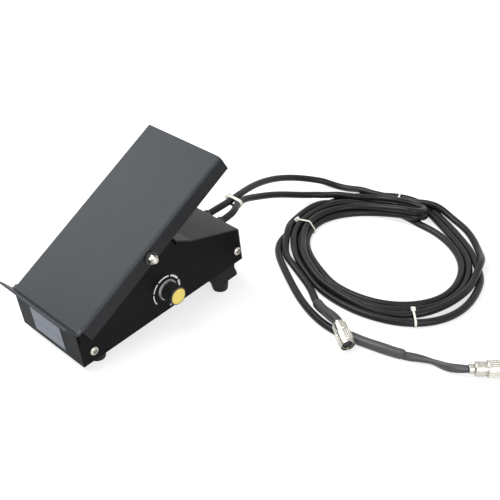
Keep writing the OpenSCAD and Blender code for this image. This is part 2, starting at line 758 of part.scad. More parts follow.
// Leaf with a rolled tip towards the cam and a barrel round the pin
module switch_lever() {
    drop = tip_r - lever_t / 2;
    color(zinc) at_switch() difference() {
        union() {
            translate([-lever_w / 2, 0, -lever_t / 2]) cube([lever_w, lever_l, lever_t]);
            bar([0, 0], -lever_w / 2, lever_w, 2.6);
            bar([lever_l, -drop], -lever_w / 2, lever_w, 2 * tip_r);
        }
        bar([0, 0], -lever_w, 2 * lever_w, 1.4 + 4 * run);
        bar([lever_l, -drop], -lever_w, 2 * lever_w, 2 * (tip_r - lever_t));
    }
}
module switch_plunger() {
    color(nylon) at_switch() translate([0, plunger_y, lever_t / 2 + 0.2]) cylinder(d = plunger_d,
        h = switch_gap + 2.5 - lever_t / 2 - 0.2);
}
// Upright sheet beside the switch, with a foot on the floor sheet
module switch_bracket() {
    x = cam_x - switch_w / 2 - bracket_t;
    hold = [for (p = [[-3, 5], [23, 5], [23, 18], [-3, 18]])
        lever_pin + p[0] * [cos(lever_dir), sin(lever_dir)] + p[1] * [-sin(lever_dir), cos(lever_dir)]];
    foot_y = [hold[3][0] - 2, hold[0][0] + 2];
    color(zinc) seated() difference() {
        union() {
            across(x, bracket_t) polygon([[foot_y[0], plate_top], [foot_y[1], plate_top], hold[0], hold[1],
                hold[2], hold[3]]);
            translate([x, foot_y[0], plate_top]) cube([14, foot_y[1] - foot_y[0], bracket_t]);
        }
        translate([cam_x, lever_pin[0], lever_pin[1]]) rotate([lever_dir, 0, 0])
            for (p = [[2.5, 8], [20, 13]]) bar(p, -20, 40, m3_d + 2 * run);
    }
}
module switch_screws() {
    color(zinc) at_switch() for (p = [[2.5, 8], [20, 13]])
        translate([switch_w / 2, p[0], p[1]]) rotate([0, 90, 0]) pan_screw(m3_d, 5.6, 2, switch_w + bracket_t);
}

// Return springs

// Cross member between the side walls, with turned-down ends and pips that centre the springs
module spring_bridge() {
    end_h = 10;
    half = inner_x - slip;
    color(zinc) seated() union() {
        translate([-half, spring_y - bridge_w / 2, bridge_z - bridge_t]) cube([2 * half, bridge_w, bridge_t]);
        both_sides() translate([half - bridge_t, spring_y - bridge_w / 2, bridge_z - end_h])
            cube([bridge_t, bridge_w, end_h]);
        both_sides() translate([spring_x, spring_y, bridge_z - bridge_t / 2]) rotate([-base_tilt, 0, 0])
            cylinder(d = spring_d - 2 * wire_d - 1, h = 4);
    }
}
spring_foot = [spring_x, on_floor([spring_y, bridge_z])[0] + floor_shift[1],
    on_floor([spring_y, bridge_z])[1] + floor_shift[2]];
// Closed and ground at both ends: the coil rises slowly at its first and last turn
function spring_rise(t) = t - sin(360 * t) / 2 / PI * 0.75;
function spring_route() =
    let (steps = 14 * spring_turns,
        r = (spring_d - wire_d) / 2,
        low = wire_d / 2 + 1.2,
        high = spring_h - wire_d / 2 - air)
    [for (k = [0:steps])
        [r * cos(360 * k / 14), r * sin(360 * k / 14), low + (high - low) * spring_rise(k / steps)]];
module return_springs() {
    color(zinc) for (side = [-1, 1])
        translate([side * spring_x + floor_shift[0], spring_foot[1], spring_foot[2]])
            tube(spring_route(), wire_d / 2, 8);
}
// Wedge-shaped seats under the treadle, flat towards the springs
module spring_cups() {
    color(nylon) intersection() {
        for (side = [-1, 1])
            translate([side * spring_x + floor_shift[0], spring_foot[1], spring_foot[2] + spring_h]) {
                cylinder(d = cup_d, h = 30);
                translate([0, 0, -3]) cylinder(d = spring_d - 2 * wire_d - 1, h = 4);
            }
        on_treadle() translate([-pedal_w, -pedal_l, pedal_under - 60]) cube([2 * pedal_w, 2 * pedal_l, 60]);
    }
}

// Terminal strip for the cable cores
module terminal_strip() {
    size = [48, 14, 12];
    ways = 6;
    foot_clear = 5;
    way_w = size[0] / ways;
    color(nylon) seated() translate([-12, rear_foot_y - foot_clear - size[1], plate_top]) difference() {
        union() {
            cube([size[0], size[1], 5]);
            for (i = [0:ways - 1]) translate([i * way_w + 0.6, 2, 4])
                cube([way_w - 1.2, size[1] - 4, size[2] - 4]);
        }
        for (i = [0:ways - 1]) translate([(i + 0.5) * way_w, -1, 7.5]) rotate([-90, 0, 0])
            cylinder(d = 3.6, h = size[1] + 2);
        for (i = [0:ways - 1]) translate([(i + 0.5) * way_w, size[1] / 2, 8]) cylinder(d = 3.4, h = size[2]);
    }
}

// Cables

// Rubber boot through the rear wall: an inner flange, a neck, an outer flange and a ribbed taper
module cable_boot(x) {
    tip_d = boot_bore + 2;
    root_d = 13;
    inner_t = 2.5;
    outer_t = 3;
    ribs = 5;
    rib_l = (boot_l - outer_t) / ribs;
    taper = [for (i = [0:ribs - 1])
        let (d = root_d + (tip_d - root_d) * i / ribs, y = outer_t + i * rib_l)
        each [[d / 2, y], [d / 2, y + rib_l * 0.65], [d / 2 - 0.7, y + rib_l * 0.65],
            [d / 2 - 0.7, y + rib_l]]];
    neck_r = boot_neck_d / 2 - run;
    color(soft_black) seated() translate([x, housing_l, boot_z]) rotate([-90, 0, 0]) rotate_extrude()
        polygon(concat([[boot_bore / 2, -wall - inner_t], [7.3, -wall - inner_t], [7.3, -wall],
            [neck_r, -wall], [neck_r, 0], [boot_flange_d / 2, 0], [boot_flange_d / 2, outer_t]], taper,
            [[boot_bore / 2, boot_l]]));
}
module cable_boot_a() {
    cable_boot(boot_x[0]);
}
module cable_boot_b() {
    cable_boot(boot_x[1]);
}
// The straight start of a cable, inside its boot
function boot_run(x) =
    [for (y = [housing_l - wall, housing_l + boot_l * 0.5, housing_l + boot_l])
        let (at = on_floor([y, boot_z]))
        [x + floor_shift[0], at[0] + floor_shift[1], at[1] + floor_shift[2]]];
module cable_a_lead() {
    color(soft_black) tube(concat(boot_run(boot_x[0]), lead_a_free), cable_r, 10);
}
module cable_b_lead() {
    color(soft_black) tube(concat(boot_run(boot_x[1]), lead_b_free), cable_r, 10);
}
function plug_back(place, dir, depth) = [place - 6 * unit(dir), place + depth * unit(dir)];
module cable_a_tail() {
    color(soft_black) tube(concat(tail_a_free, plug_back(plug_1_at, plug_1_dir, 0)), cable_r, 10);
}
module cable_b_tail() {
    color(soft_black) tube(concat(tail_b_free, plug_back(plug_2_at, plug_2_dir, 0)), cable_r, 10);
}
// Outer shape of the turns of both cables: a flat ring with two short straight sides
module cable_coil() {
    corner_r = 5;
    section = rounded([[coil_inner_r, 0], [coil_outer_r, 0], [coil_outer_r, coil_h], [coil_inner_r, coil_h]],
        corner_r);
    color(soft_black) translate([coil_at[0], coil_at[1], 0]) rotate([0, 0, coil_turn]) union() {
        translate([coil_straight, 0, 0]) rotate([0, 0, -90]) rotate_extrude(angle = 180) polygon(section);
        translate([-coil_straight, 0, 0]) rotate([0, 0, 90]) rotate_extrude(angle = 180) polygon(section);
        for (turn = [0, 180]) rotate([0, 0, turn]) translate([-coil_straight, 0, 0]) rotate([90, 0, 90])
            linear_extrude(2 * coil_straight) polygon(section);
    }
}

// Plugs: the cable enters at z = 0, the mouth faces +z

barrel_d = plug_d - 3.4;
ring_from = plug_l * 0.52;
ring_lip = 2;
insert_d = barrel_d - 1.6;
module plug_body() {
    shell_d = plug_d - 1.8;
    clamp_d = cable_d + 1.6;
    difference() {
        rotate_extrude() polygon([[0, 0], [clamp_d / 2 - 0.6, 0], [clamp_d / 2, 0.6], [clamp_d / 2, 4],
            [clamp_d / 2 - 0.6, 4.4], [shell_d / 2 - 0.8, 5.2], [shell_d / 2, 6],
            [shell_d / 2, ring_from - 2],
            [shell_d / 2 - 0.6, ring_from - 1.4], [shell_d / 2 - 0.6, ring_from - air],
            [barrel_d / 2, ring_from - air], [barrel_d / 2, plug_l - 1.6], [barrel_d / 2 - 0.3, plug_l - 1.2],
            [0, plug_l - 1.2]]);
        translate([0, 0, ring_from]) cylinder(d = insert_d + 2 * run, h = plug_l);
        for (turn = [0, 180]) rotate([0, 0, turn]) translate([shell_d / 2 - 0.8, 0, 9.5]) rotate([0, 90, 0])
            cylinder(d = 3, h = 3);
    }
}
// Insulating insert with its contact holes and key
module plug_insert() {
    contacts = 5;
    circle_r = insert_d * 0.3;
    difference() {
        translate([0, 0, ring_from]) cylinder(d = insert_d, h = plug_l - 2.6 - ring_from);
        for (i = [0:contacts - 1]) rotate(360 * i / contacts) translate([circle_r, 0, plug_l - 7])
            cylinder(d = 1.4, h = 10);
        translate([insert_d / 2 - 0.8, -0.7, plug_l - 7]) cube([3, 1.4, 10]);
    }
}
// Knurled coupling ring, free to turn on the barrel
module plug_ring() {
    grooves = 24;
    difference() {
        rotate_extrude() polygon([[barrel_d / 2 + run * 2, ring_from], [plug_d / 2 - 0.5, ring_from],
            [plug_d / 2, ring_from + 0.6], [plug_d / 2, plug_l - 3.6], [plug_d / 2 - 0.7, plug_l - 3],
            [plug_d / 2 - 0.7, plug_l], [barrel_d / 2 + 0.7, plug_l],
            [barrel_d / 2 + 0.7, ring_from + ring_lip],
            [barrel_d / 2 + run * 2, ring_from + ring_lip]]);
        for (i = [0:grooves - 1]) rotate(360 * i / grooves) translate([plug_d / 2 + 0.2, 0, ring_from + 1.2])
            cylinder(d = 0.9, h = plug_l - ring_from - 5.6);
    }
}
module plug_1_body() {
    color(nickel) at_plug(plug_1_at, plug_1_dir) plug_body();
}
module plug_1_insert() {
    color(soft_black) at_plug(plug_1_at, plug_1_dir) plug_insert();
}
module plug_1_ring() {
    color(nickel) at_plug(plug_1_at, plug_1_dir) plug_ring();
}
module plug_2_body() {
    color(nickel) at_plug(plug_2_at, plug_2_dir) plug_body();
}
module plug_2_insert() {
    color(soft_black) at_plug(plug_2_at, plug_2_dir) plug_insert();
}
module plug_2_ring() {
    color(nickel) at_plug(plug_2_at, plug_2_dir) plug_ring();
}

housing();
bottom_plate();
rear_cover();
side_screws();
front_feet();
rear_risers();
rear_feet();
foot_screws();
pivot_bolt();
pivot_sleeve();
pivot_washers();
pivot_nut();
pot_bracket();
travel_stops();
foot_pot();
foot_pot_nut();
range_pot();
range_pot_nut();
switch_bracket();
switch_body();
switch_screws();
spring_bridge();
return_springs();
terminal_strip();
cable_boot_a();
cable_boot_b();
pedal();
pivot_bushes();
gear_sector();
switch_cam();
spring_cups();
knob_body();
knob_cap();
knob_skirt();
range_shaft();
pinion();
foot_pot_shaft();
switch_lever();
switch_plunger();
plug_1_body();
plug_1_insert();
plug_1_ring();
plug_2_body();
plug_2_insert();
plug_2_ring();
cable_a_lead();
cable_b_lead();
cable_coil();
cable_a_tail();
cable_b_tail();
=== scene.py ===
import bpy
import numpy as np
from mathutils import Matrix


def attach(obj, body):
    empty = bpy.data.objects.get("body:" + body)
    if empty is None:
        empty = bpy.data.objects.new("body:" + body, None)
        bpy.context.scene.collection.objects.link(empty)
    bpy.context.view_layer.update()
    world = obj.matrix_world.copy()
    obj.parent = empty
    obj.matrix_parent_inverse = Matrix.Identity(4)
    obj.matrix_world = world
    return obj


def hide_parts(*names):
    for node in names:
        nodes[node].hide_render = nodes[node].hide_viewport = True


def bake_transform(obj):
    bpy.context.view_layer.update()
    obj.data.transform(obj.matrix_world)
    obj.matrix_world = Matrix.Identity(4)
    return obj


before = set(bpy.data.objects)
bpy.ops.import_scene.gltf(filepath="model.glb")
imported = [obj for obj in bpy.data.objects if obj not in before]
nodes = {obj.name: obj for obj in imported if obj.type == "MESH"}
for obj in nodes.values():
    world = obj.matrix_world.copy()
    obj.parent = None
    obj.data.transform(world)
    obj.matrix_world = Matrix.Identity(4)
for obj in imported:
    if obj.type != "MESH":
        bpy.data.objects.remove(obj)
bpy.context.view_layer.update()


# Housing shell and floor sheet
# Two side walls and a front wall of 1.5 mm steel, welded at the front corners, over a screwed-in floor sheet.
# Both are sprayed with black powder and baked, which leaves a faint orange-peel skin.

mm = 0.001
tilt = np.radians(7.3)
floor_shift = np.array([-3.575, -87.734, 5.5])


def seated(points):
    """Housing millimetres to metres on the floor: turned about x by the tilt, then moved by the shift."""
    p = np.asarray(points, float)
    y = p[..., 1] * np.cos(tilt) - p[..., 2] * np.sin(tilt)
    z = p[..., 1] * np.sin(tilt) + p[..., 2] * np.cos(tilt)
    return (np.stack([p[..., 0], y, z], -1) + floor_shift) * mm


def add(tree, kind, settings=None, **sockets):
    """One shader node. A socket is linked where an output is given, and set where a value is given."""
    made = tree.nodes.new("ShaderNode" + kind)
    for name, value in (settings or {}).items():
        setattr(made, name, value)
    for name, value in sockets.items():
        socket = made.inputs[name.replace("_", " ")]
        if isinstance(value, bpy.types.NodeSocket):
            tree.links.new(value, socket)
        else:
            socket.default_value = value
    return made


def calc(tree, operation, *terms):
    """One arithmetic node. Each term is an output of another node or a number."""
    made = add(tree, "Math", {"operation": operation})
    for socket, term in zip(made.inputs, terms):
        if isinstance(term, bpy.types.NodeSocket):
            tree.links.new(term, socket)
        else:
            socket.default_value = term
    return made.outputs["Value"]


def effect(name, takes):
    """Starts a node group with the named inputs. Every group gives out a colour, a roughness and a relief."""
    tree = bpy.data.node_groups.new(name, "ShaderNodeTree")
    for label, kind in takes:
        tree.interface.new_socket(label, in_out="INPUT", socket_type="NodeSocket" + kind)
    for label, kind in (("Colour", "Color"), ("Roughness", "Float"), ("Relief", "Float")):
        tree.interface.new_socket(label, in_out="OUTPUT", socket_type="NodeSocket" + kind)
    return tree, tree.nodes.new("NodeGroupInput").outputs, tree.nodes.new("NodeGroupOutput").inputs


def between(tree, pattern, low, high):
    """A value that runs from low to high over the middle part of a noise pattern."""
    span = add(tree, "MapRange", Value=pattern, From_Min=0.3, From_Max=0.7, To_Min=low, To_Max=high)
    return span.outputs["Result"]


def scaled(tree, colour, share):
    """The colour times a share."""
    return add(tree, "VectorMath", {"operation": "SCALE"}, Vector=colour, Scale=share).outputs["Vector"]


def shaded(tree, colour, pattern, low, high):
    """The colour times a share that runs from low to high with a noise pattern."""
    return scaled(tree, colour, between(tree, pattern, low, high))


powder, takes, gives = effect(
    "powder_coat", [("Colour", "Color"), ("Peel", "Float"), ("Satin", "Float"), ("Matt", "Float")])
spot = add(powder, "TexCoord").outputs["Object"]
orange_peel = add(powder, "TexNoise", Vector=spot, Scale=takes["Peel"], Detail=2.0, Roughness=0.45)
cloud = add(powder, "TexNoise", Vector=spot, Scale=60.0, Detail=5.0, Roughness=0.65)
speck = add(powder, "TexNoise", Vector=spot, Scale=2300.0, Detail=1.0)
specked = shaded(powder, takes["Colour"], speck.outputs["Fac"], 0.8, 1.2)
powder.links.new(shaded(powder, specked, cloud.outputs["Fac"], 0.85, 1.15), gives["Colour"])
powder.links.new(between(powder, cloud.outputs["Fac"], takes["Satin"], takes["Matt"]), gives["Roughness"])
powder.links.new(orange_peel.outputs["Fac"], gives["Relief"])


def surface(name, skin, depth, shader=None, **values):
    """A material whose colour, roughness and relief come from one effect group with its own values."""
    material = bpy.data.materials.new(name)
    material.use_nodes = True
    tree = material.node_tree
    principled = tree.nodes["Principled BSDF"]
    group = add(tree, "Group", {"node_tree": skin}, **values)
    bump = add(tree, "Bump", Height=group.outputs["Relief"], Distance=depth, Strength=1.0)
    tree.links.new(group.outputs["Colour"], principled.inputs["Base Color"])
    tree.links.new(group.outputs["Roughness"], principled.inputs["Roughness"])
    tree.links.new(bump.outputs["Normal"], principled.inputs["Normal"])
    for socket, value in (shader or {}).items():
        principled.inputs[socket].default_value = value
    return material


def paint(material, *names):
    """Puts a material into the slots of CAD nodes."""
    for name in names:
        if not nodes[name].material_slots:
            nodes[name].data.materials.append(material)
        for place in nodes[name].material_slots:
            place.material = material


housing_black = surface("housing_black", powder, 0.05 * mm, {"Specular IOR Level": 0.05},
                        Colour=(0.0075, 0.008, 0.0085, 1), Peel=950.0, Satin=0.4, Matt=0.48)
paint(housing_black, "housing", "bottom_plate")


# Label plate
# A thin silver foil plate glued to the front wall, with two bare fields and a dark line between them.
# It is cut out with rounded corners, and the fields stand a little proud of the darker rim.

label_x, label_z = (-24.0, 22.0), (5.5, 32.5)
label_corner, label_t, label_bevel = 0.8, 0.3, 0.08
field_inset, field_split, field_corner = 0.5, (17.6, 18.4), 0.5
field_root, field_rise, field_bevel = 0.2, 0.06, 0.05
rim_points = 64


def hull_line(centres, radius, count):
    """Closed line round equal circles: in each direction the furthest centre, moved out by the radius."""
    turn = np.linspace(0, 2 * np.pi, count, endpoint=False)
    out = np.stack([np.cos(turn), np.sin(turn)], -1)
    middles = np.asarray(centres, float)
    return middles[np.argmax(out @ middles.T, axis=1)] + radius * out


def corners(width, height, radius):
    """Centres of the four corner circles of a rounded rectangle; width and height are (low, high)."""
    across = (width[0] + radius, width[1] - radius)
    upward = (height[0] + radius, height[1] - radius)
    return [(x, y) for x in across for y in upward]


def grid_mesh(name, grids, ring=False, uv=None, sharp=32):
    """One mesh of some grids of points: quads between neighbouring rows, closed round the columns.
    A ring is closed along its rows too, and other grids get a cap on the first and last row.
    Faces are turned outwards by the sign of the volume that they hold.
    A mesh of one grid may have a uv map: its values along the rows and around the columns."""
    points, faces, start = [], [], 0
    for grid in grids:
        n, m = grid.shape[:2]
        index = np.arange(n * m).reshape(n, m)
        low, high = (index, np.roll(index, -1, 0)) if ring else (index[:-1], index[1:])
        quads = np.stack([low, np.roll(low, -1, 1), np.roll(high, -1, 1), high], -1).reshape(-1, 4)
        flat = grid.reshape(-1, 3) - grid.reshape(-1, 3).mean(0)
        a, b, c, d = (flat[quads[:, k]] for k in range(4))
        volume = np.sum(a * (np.cross(b, c) + np.cross(c, d)))
        caps = [] if ring else [index[0][::-1], index[-1]]
        for cap in caps:
            volume += np.sum(flat[cap[0]] * np.cross(flat[cap[1:-1]], flat[cap[2:]]))
        turned = -1 if volume < 0 else 1
        faces += (quads[:, ::turned] + start).tolist() + [(cap[::turned] + start).tolist() for cap in caps]
        points.append(grid.reshape(-1, 3))
        start += n * m
    mesh = bpy.data.meshes.new(name)
    mesh.from_pydata(np.concatenate(points).tolist(), [], faces)
    mesh.polygons.foreach_set("use_smooth", np.ones(len(faces), bool))
    mesh.set_sharp_from_angle(angle=np.radians(sharp))
    if uv is not None:
        along, around = uv
        u = np.stack([along[:-1], along[:-1], along[1:], along[1:]], -1)[:, None].repeat(len(around) - 1, 1)
        v = np.stack([around[:-1], around[1:], around[1:], around[:-1]], -1)[None].repeat(len(along) - 1, 0)
        pairs = np.stack([u, v], -1).reshape(-1, 4, 2)[:, ::turned]
        ends = np.zeros((len(mesh.loops) - 4 * len(pairs), 2))
        layer = mesh.uv_layers.new(name="along")
        spread = np.concatenate([pairs.reshape(-1, 2), ends]).astype(np.float32)
        layer.data.foreach_set("uv", spread.ravel())
    made = bpy.data.objects.new(name, mesh)
    bpy.context.scene.collection.objects.link(made)
    return made


def piece(made, body, material, slot, *stands_for):
    """Finishes a new piece: its material, the body it rides on and the nodes it stands for, which are hidden.
    The slot is not used.
    """
    made.data.materials.append(material)
    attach(made, body)
    if stands_for:
        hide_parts(*stands_for)
    return made


def wall_slab(width, height, radius, low, high, bevel):
    """Rows of a rounded slab on the front wall, from depth low out to depth high, with a bevelled rim."""
    outer = hull_line(corners(width, height, radius), radius, rim_points)
    inner = hull_line(corners(width, height, radius), radius - bevel, rim_points)
    rows = [(outer, low), (outer, high - bevel), (inner, high)]
    placed = [np.stack([line[:, 0], np.full(rim_points, -depth), line[:, 1]], -1) for line, depth in rows]
    return seated(np.stack(placed))


metal, takes, gives = effect(
    "metal_skin", [("Colour", "Color"), ("Grain", "Float"), ("Bright", "Float"), ("Dull", "Float")])
spot = add(metal, "TexCoord").outputs["Object"]
stain = add(metal, "TexNoise", Vector=spot, Scale=160.0, Detail=4.0, Roughness=0.6)
grain = add(metal, "TexNoise", Vector=spot, Scale=takes["Grain"], Detail=3.0)
metal.links.new(shaded(metal, takes["Colour"], stain.outputs["Fac"], 0.9, 1.06), gives["Colour"])
metal.links.new(between(metal, stain.outputs["Fac"], takes["Bright"], takes["Dull"]), gives["Roughness"])
metal.links.new(grain.outputs["Fac"], gives["Relief"])

foil_rim = surface("foil_rim", metal, 0.01 * mm, {"Metallic": 0.3, "Specular IOR Level": 0.2},
                   Colour=(0.11, 0.12, 0.15, 1), Grain=1500.0, Bright=0.4, Dull=0.5)
foil_field = surface("foil_field", metal, 0.01 * mm, {"Metallic": 0.2, "Specular IOR Level": 0.2},
                     Colour=(0.22, 0.24, 0.28, 1), Grain=1500.0, Bright=0.4, Dull=0.52)
label = grid_mesh("label_plate", [wall_slab(label_x, label_z, label_corner, 0.0, label_t, label_bevel)])
piece(label, "base", foil_rim, "zinc")
field_x = (label_x[0] + field_inset, label_x[1] - field_inset)
field_heights = [(label_z[0] + field_inset, field_split[0]), (field_split[1], label_z[1] - field_inset)]
label_fields = grid_mesh("label_fields", [
    wall_slab(field_x, field_z, field_corner, field_root, label_t + field_rise, field_bevel)
    for field_z in field_heights])
piece(label_fields, "base", foil_field, "zinc")


# Feet
# Turned rubber feet at the front, and moulded plastic blocks with rubber feet that raise the rear.
# M4 screws from inside the housing hold them.

moulded, takes, gives = effect("moulded_skin", [("Colour", "Color"), ("Grain", "Float"), ("Rough", "Float")])
spot = add(moulded, "TexCoord").outputs["Object"]
bloom = add(moulded, "TexNoise", Vector=spot, Scale=70.0, Detail=5.0, Roughness=0.65)
grain = add(moulded, "TexNoise", Vector=spot, Scale=takes["Grain"], Detail=2.0)
moulded.links.new(shaded(moulded, takes["Colour"], bloom.outputs["Fac"], 0.86, 1.14), gives["Colour"])
patch = between(moulded, bloom.outputs["Fac"], -0.05, 0.06)
moulded.links.new(calc(moulded, "ADD", takes["Rough"], patch), gives["Roughness"])
moulded.links.new(grain.outputs["Fac"], gives["Relief"])

foot_rubber = surface("foot_rubber", moulded, 0.06 * mm, {"Specular IOR Level": 0.2},
                      Colour=(0.012, 0.012, 0.012, 1), Grain=1100.0, Rough=0.62)
riser_plastic = surface("riser_plastic", moulded, 0.04 * mm, {"Specular IOR Level": 0.1},
                        Colour=(0.015, 0.015, 0.016, 1), Grain=1600.0, Rough=0.5)
zinc_plate = surface("zinc_plate", metal, 0.02 * mm, {"Metallic": 1.0},
                     Colour=(0.44, 0.44, 0.45, 1), Grain=1300.0, Bright=0.26, Dull=0.4)
paint(foot_rubber, "front_feet", "rear_feet")
paint(riser_plastic, "rear_risers")
paint(zinc_plate, "foot_screws")


# Pivot
# A zinc-plated M5 bolt through a spacer tube, with washers and a nickel-plated domed nut on the knob side.
# Flanged nylon bushes pressed into the treadle turn on it.

nickel_plate = surface("nickel_plate", metal, 0.01 * mm, {"Metallic": 1.0},
                       Colour=(0.54, 0.52, 0.47, 1), Grain=900.0, Bright=0.24, Dull=0.32)
white_nylon = surface("white_nylon", moulded, 0.02 * mm,
                      Colour=(0.74, 0.73, 0.66, 1), Grain=900.0, Rough=0.42)
dark_washer = surface("dark_washer", metal, 0.01 * mm, {"Metallic": 0.6},
                      Colour=(0.05, 0.05, 0.05, 1), Grain=900.0, Bright=0.3, Dull=0.45)
paint(zinc_plate, "pivot_bolt", "pivot_sleeve")
paint(dark_washer, "pivot_washers")
paint(nickel_plate, "pivot_nut")
paint(white_nylon, "pivot_bushes")


# Drive under the treadle
# A moulded nylon gear sector turns the pinion of the foot potentiometer, which sits on a sheet bracket with
# rubber stops. A spiral cam beside the sector lifts the roller lever of a snap switch on its own bracket.

pot_case = surface("pot_case", metal, 0.02 * mm, {"Metallic": 0.8},
                   Colour=(0.33, 0.35, 0.37, 1), Grain=800.0, Bright=0.35, Dull=0.5)
turned_brass = surface("turned_brass", metal, 0.015 * mm, {"Metallic": 1.0},
                       Colour=(0.6, 0.42, 0.16, 1), Grain=1200.0, Bright=0.22, Dull=0.36)
switch_case = surface("switch_case", moulded, 0.03 * mm,
                      Colour=(0.26, 0.02, 0.015, 1), Grain=1500.0, Rough=0.46)
paint(zinc_plate, "pot_bracket", "switch_bracket", "switch_screws", "switch_lever", "spring_bridge")
paint(foot_rubber, "travel_stops")
paint(pot_case, "foot_pot", "range_pot")
paint(turned_brass, "foot_pot_nut", "foot_pot_shaft", "range_pot_nut", "range_shaft")
paint(white_nylon, "gear_sector", "switch_cam", "spring_cups", "pinion", "switch_plunger", "terminal_strip")
paint(switch_case, "switch_body")


# Return springs
# Two compression springs of 1.8 mm zinc-plated wire, closed at both ends, that stand on the cross member.
# Their tops sit in cups under the treadle; they are drawn straight, at one height.

spring_x, spring_foot = (-31.575, 24.425), (9.910, 77.491)
spring_d, wire_d, spring_h, spring_turns = 12.0, 1.8, 22.0, 5
seat_low, seat_high, closed_share = 1.2, 0.3, 0.75
steps_per_turn, wire_sides = 28, 12


def tube_rows(path, radius, sides):
    """Rings of points round a line, each across the line's direction, starting from a level side vector.
    The radius is one number, or an array with one row for each point of the line."""
    run = np.gradient(path, axis=0)
    run /= np.linalg.norm(run, axis=1, keepdims=True)
    level = np.cross(run, (0.0, 0.0, 1.0))
    level /= np.linalg.norm(level, axis=1, keepdims=True)
    over = np.cross(level, run)
    turn = np.linspace(0, 2 * np.pi, sides, endpoint=False)[None, :, None]
    out = np.cos(turn) * level[:, None] + np.sin(turn) * over[:, None]
    return path[:, None] + np.broadcast_to(radius, (len(path), sides))[..., None] * out


def spring_line(x):
    """Helix whose rise is slow at its first and last turn, as in a spring with closed ends."""
    share = np.linspace(0, 1, steps_per_turn * spring_turns + 1)
    rise = share - np.sin(2 * np.pi * share) / (2 * np.pi) * closed_share
    low, high = wire_d / 2 + seat_low, spring_h - wire_d / 2 - seat_high
    turn, r = 2 * np.pi * spring_turns * share, (spring_d - wire_d) / 2
    y = spring_foot[0] + r * np.sin(turn)
    z = spring_foot[1] + low + (high - low) * rise
    return np.stack([x + r * np.cos(turn), y, z], -1) * mm


springs = grid_mesh("springs", [tube_rows(spring_line(x), wire_d / 2 * mm, wire_sides) for x in spring_x])
springs.data.materials.append(zinc_plate)
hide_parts("return_springs")
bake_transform(springs)


# Range knob and its printed dial
# A fluted black knob with a yellow cap and a bright metal skirt on the shaft of the range potentiometer.
# A dashed white arc, screen printed on the side wall, grows wider from its low end to its high end.

knob_plastic = surface("knob_plastic", moulded, 0.03 * mm,
                       Colour=(0.012, 0.012, 0.013, 1), Grain=1400.0, Rough=0.38)
skirt_silver = surface("skirt_silver", metal, 0.01 * mm, {"Metallic": 0.9},
                       Colour=(0.6, 0.6, 0.58, 1), Grain=900.0, Bright=0.26, Dull=0.36)
cap_yellow = surface("cap_yellow", moulded, 0.03 * mm,
                     Colour=(0.92, 0.72, 0.16, 1), Grain=1100.0, Rough=0.45)
paint(knob_plastic, "knob_body")
paint(cap_yellow, "knob_cap")
paint(skirt_silver, "knob_skirt")

wall_x = 46.5
dial_at, dial_r, ink_t, dash_points = (99.2, 21.2), 15.0, 0.05, 24
# A dash is its first and last angle in degrees and its width. The mark has its own radius before the width.
dial_dashes = [(209, 167, 1.2), (160, 124, 1.4), (117, 70, 1.6), (62, 22, 1.9), (14, -28, 2.1)]
dial_mark = (-82, -88, 17.6, 1.6)


def ink_dash(start, end, radius, width):
    """Rows of a thin strip on the right wall: an arc between two angles, of one width, with square ends."""
    turn = np.radians(np.linspace(start, end, dash_points))
    r = radius + np.array([-width / 2, width / 2, width / 2, -width / 2])
    x = wall_x + np.array([0.0, 0.0, ink_t, ink_t])
    y = dial_at[0] + np.cos(turn)[:, None] * r
    z = dial_at[1] + np.sin(turn)[:, None] * r
    return seated(np.stack([np.broadcast_to(x, y.shape), y, z], -1))


dial_ink = surface("dial_ink", moulded, 0.01 * mm, Colour=(0.72, 0.73, 0.76, 1), Grain=1800.0, Rough=0.5)
dashes = [ink_dash(start, end, dial_r, width) for start, end, width in dial_dashes] + [ink_dash(*dial_mark)]
dial = grid_mesh("dial_print", dashes)
piece(dial, "base", dial_ink, "black_coat")


# Rear cover
# One folded sheet that closes the housing behind the treadle: short steep front, long slope and rear wall.
# It has the same powder as the housing, in a lighter grey.

cover_grey = surface("cover_grey", powder, 0.05 * mm, {"Specular IOR Level": 0.16},
                     Colour=(0.042, 0.0425, 0.042, 1), Peel=900.0, Satin=0.42, Matt=0.5)
paint(cover_grey, "rear_cover")


# Side screws
# Nickel-plated M4 pan-head screws, two on each side, through the walls into tabs of the sheets behind them.
# The head is upset from the wire, and a punch leaves the cross recess in its crown.

screw_places = [(13.0, 11.0), (187.0, 13.0)]
head_d, head_h, head_edge, shank_d, shank_l = 8.4, 2.8, 0.35, 4.0, 6.0
rim_rows, rim_step, screw_sides = 6, np.radians(82 / 11), 72
crown_r, crown_tip, crown_rows, crown_from = 3.2, 0.02, 30, 0.4
arm_w, arm_l, arm_edge, arm_end, recess_h = 0.8, 2.4, 0.12, 0.5, 2.1
screw_turn, recess_turn = 0.35, 0.5


def eased(share):
    """Smooth step of a share that is held between 0 and 1."""
    s = np.clip(share, 0, 1)
    return s * s * (3 - 2 * s)


def cross_arm(along, across):
    """1 inside one arm of the cross recess, easing to 0 over its edges and its ends."""
    inside = eased((arm_w + arm_edge - np.abs(across)) / (2 * arm_edge))
    return inside * eased((arm_l - np.abs(along)) / arm_end)


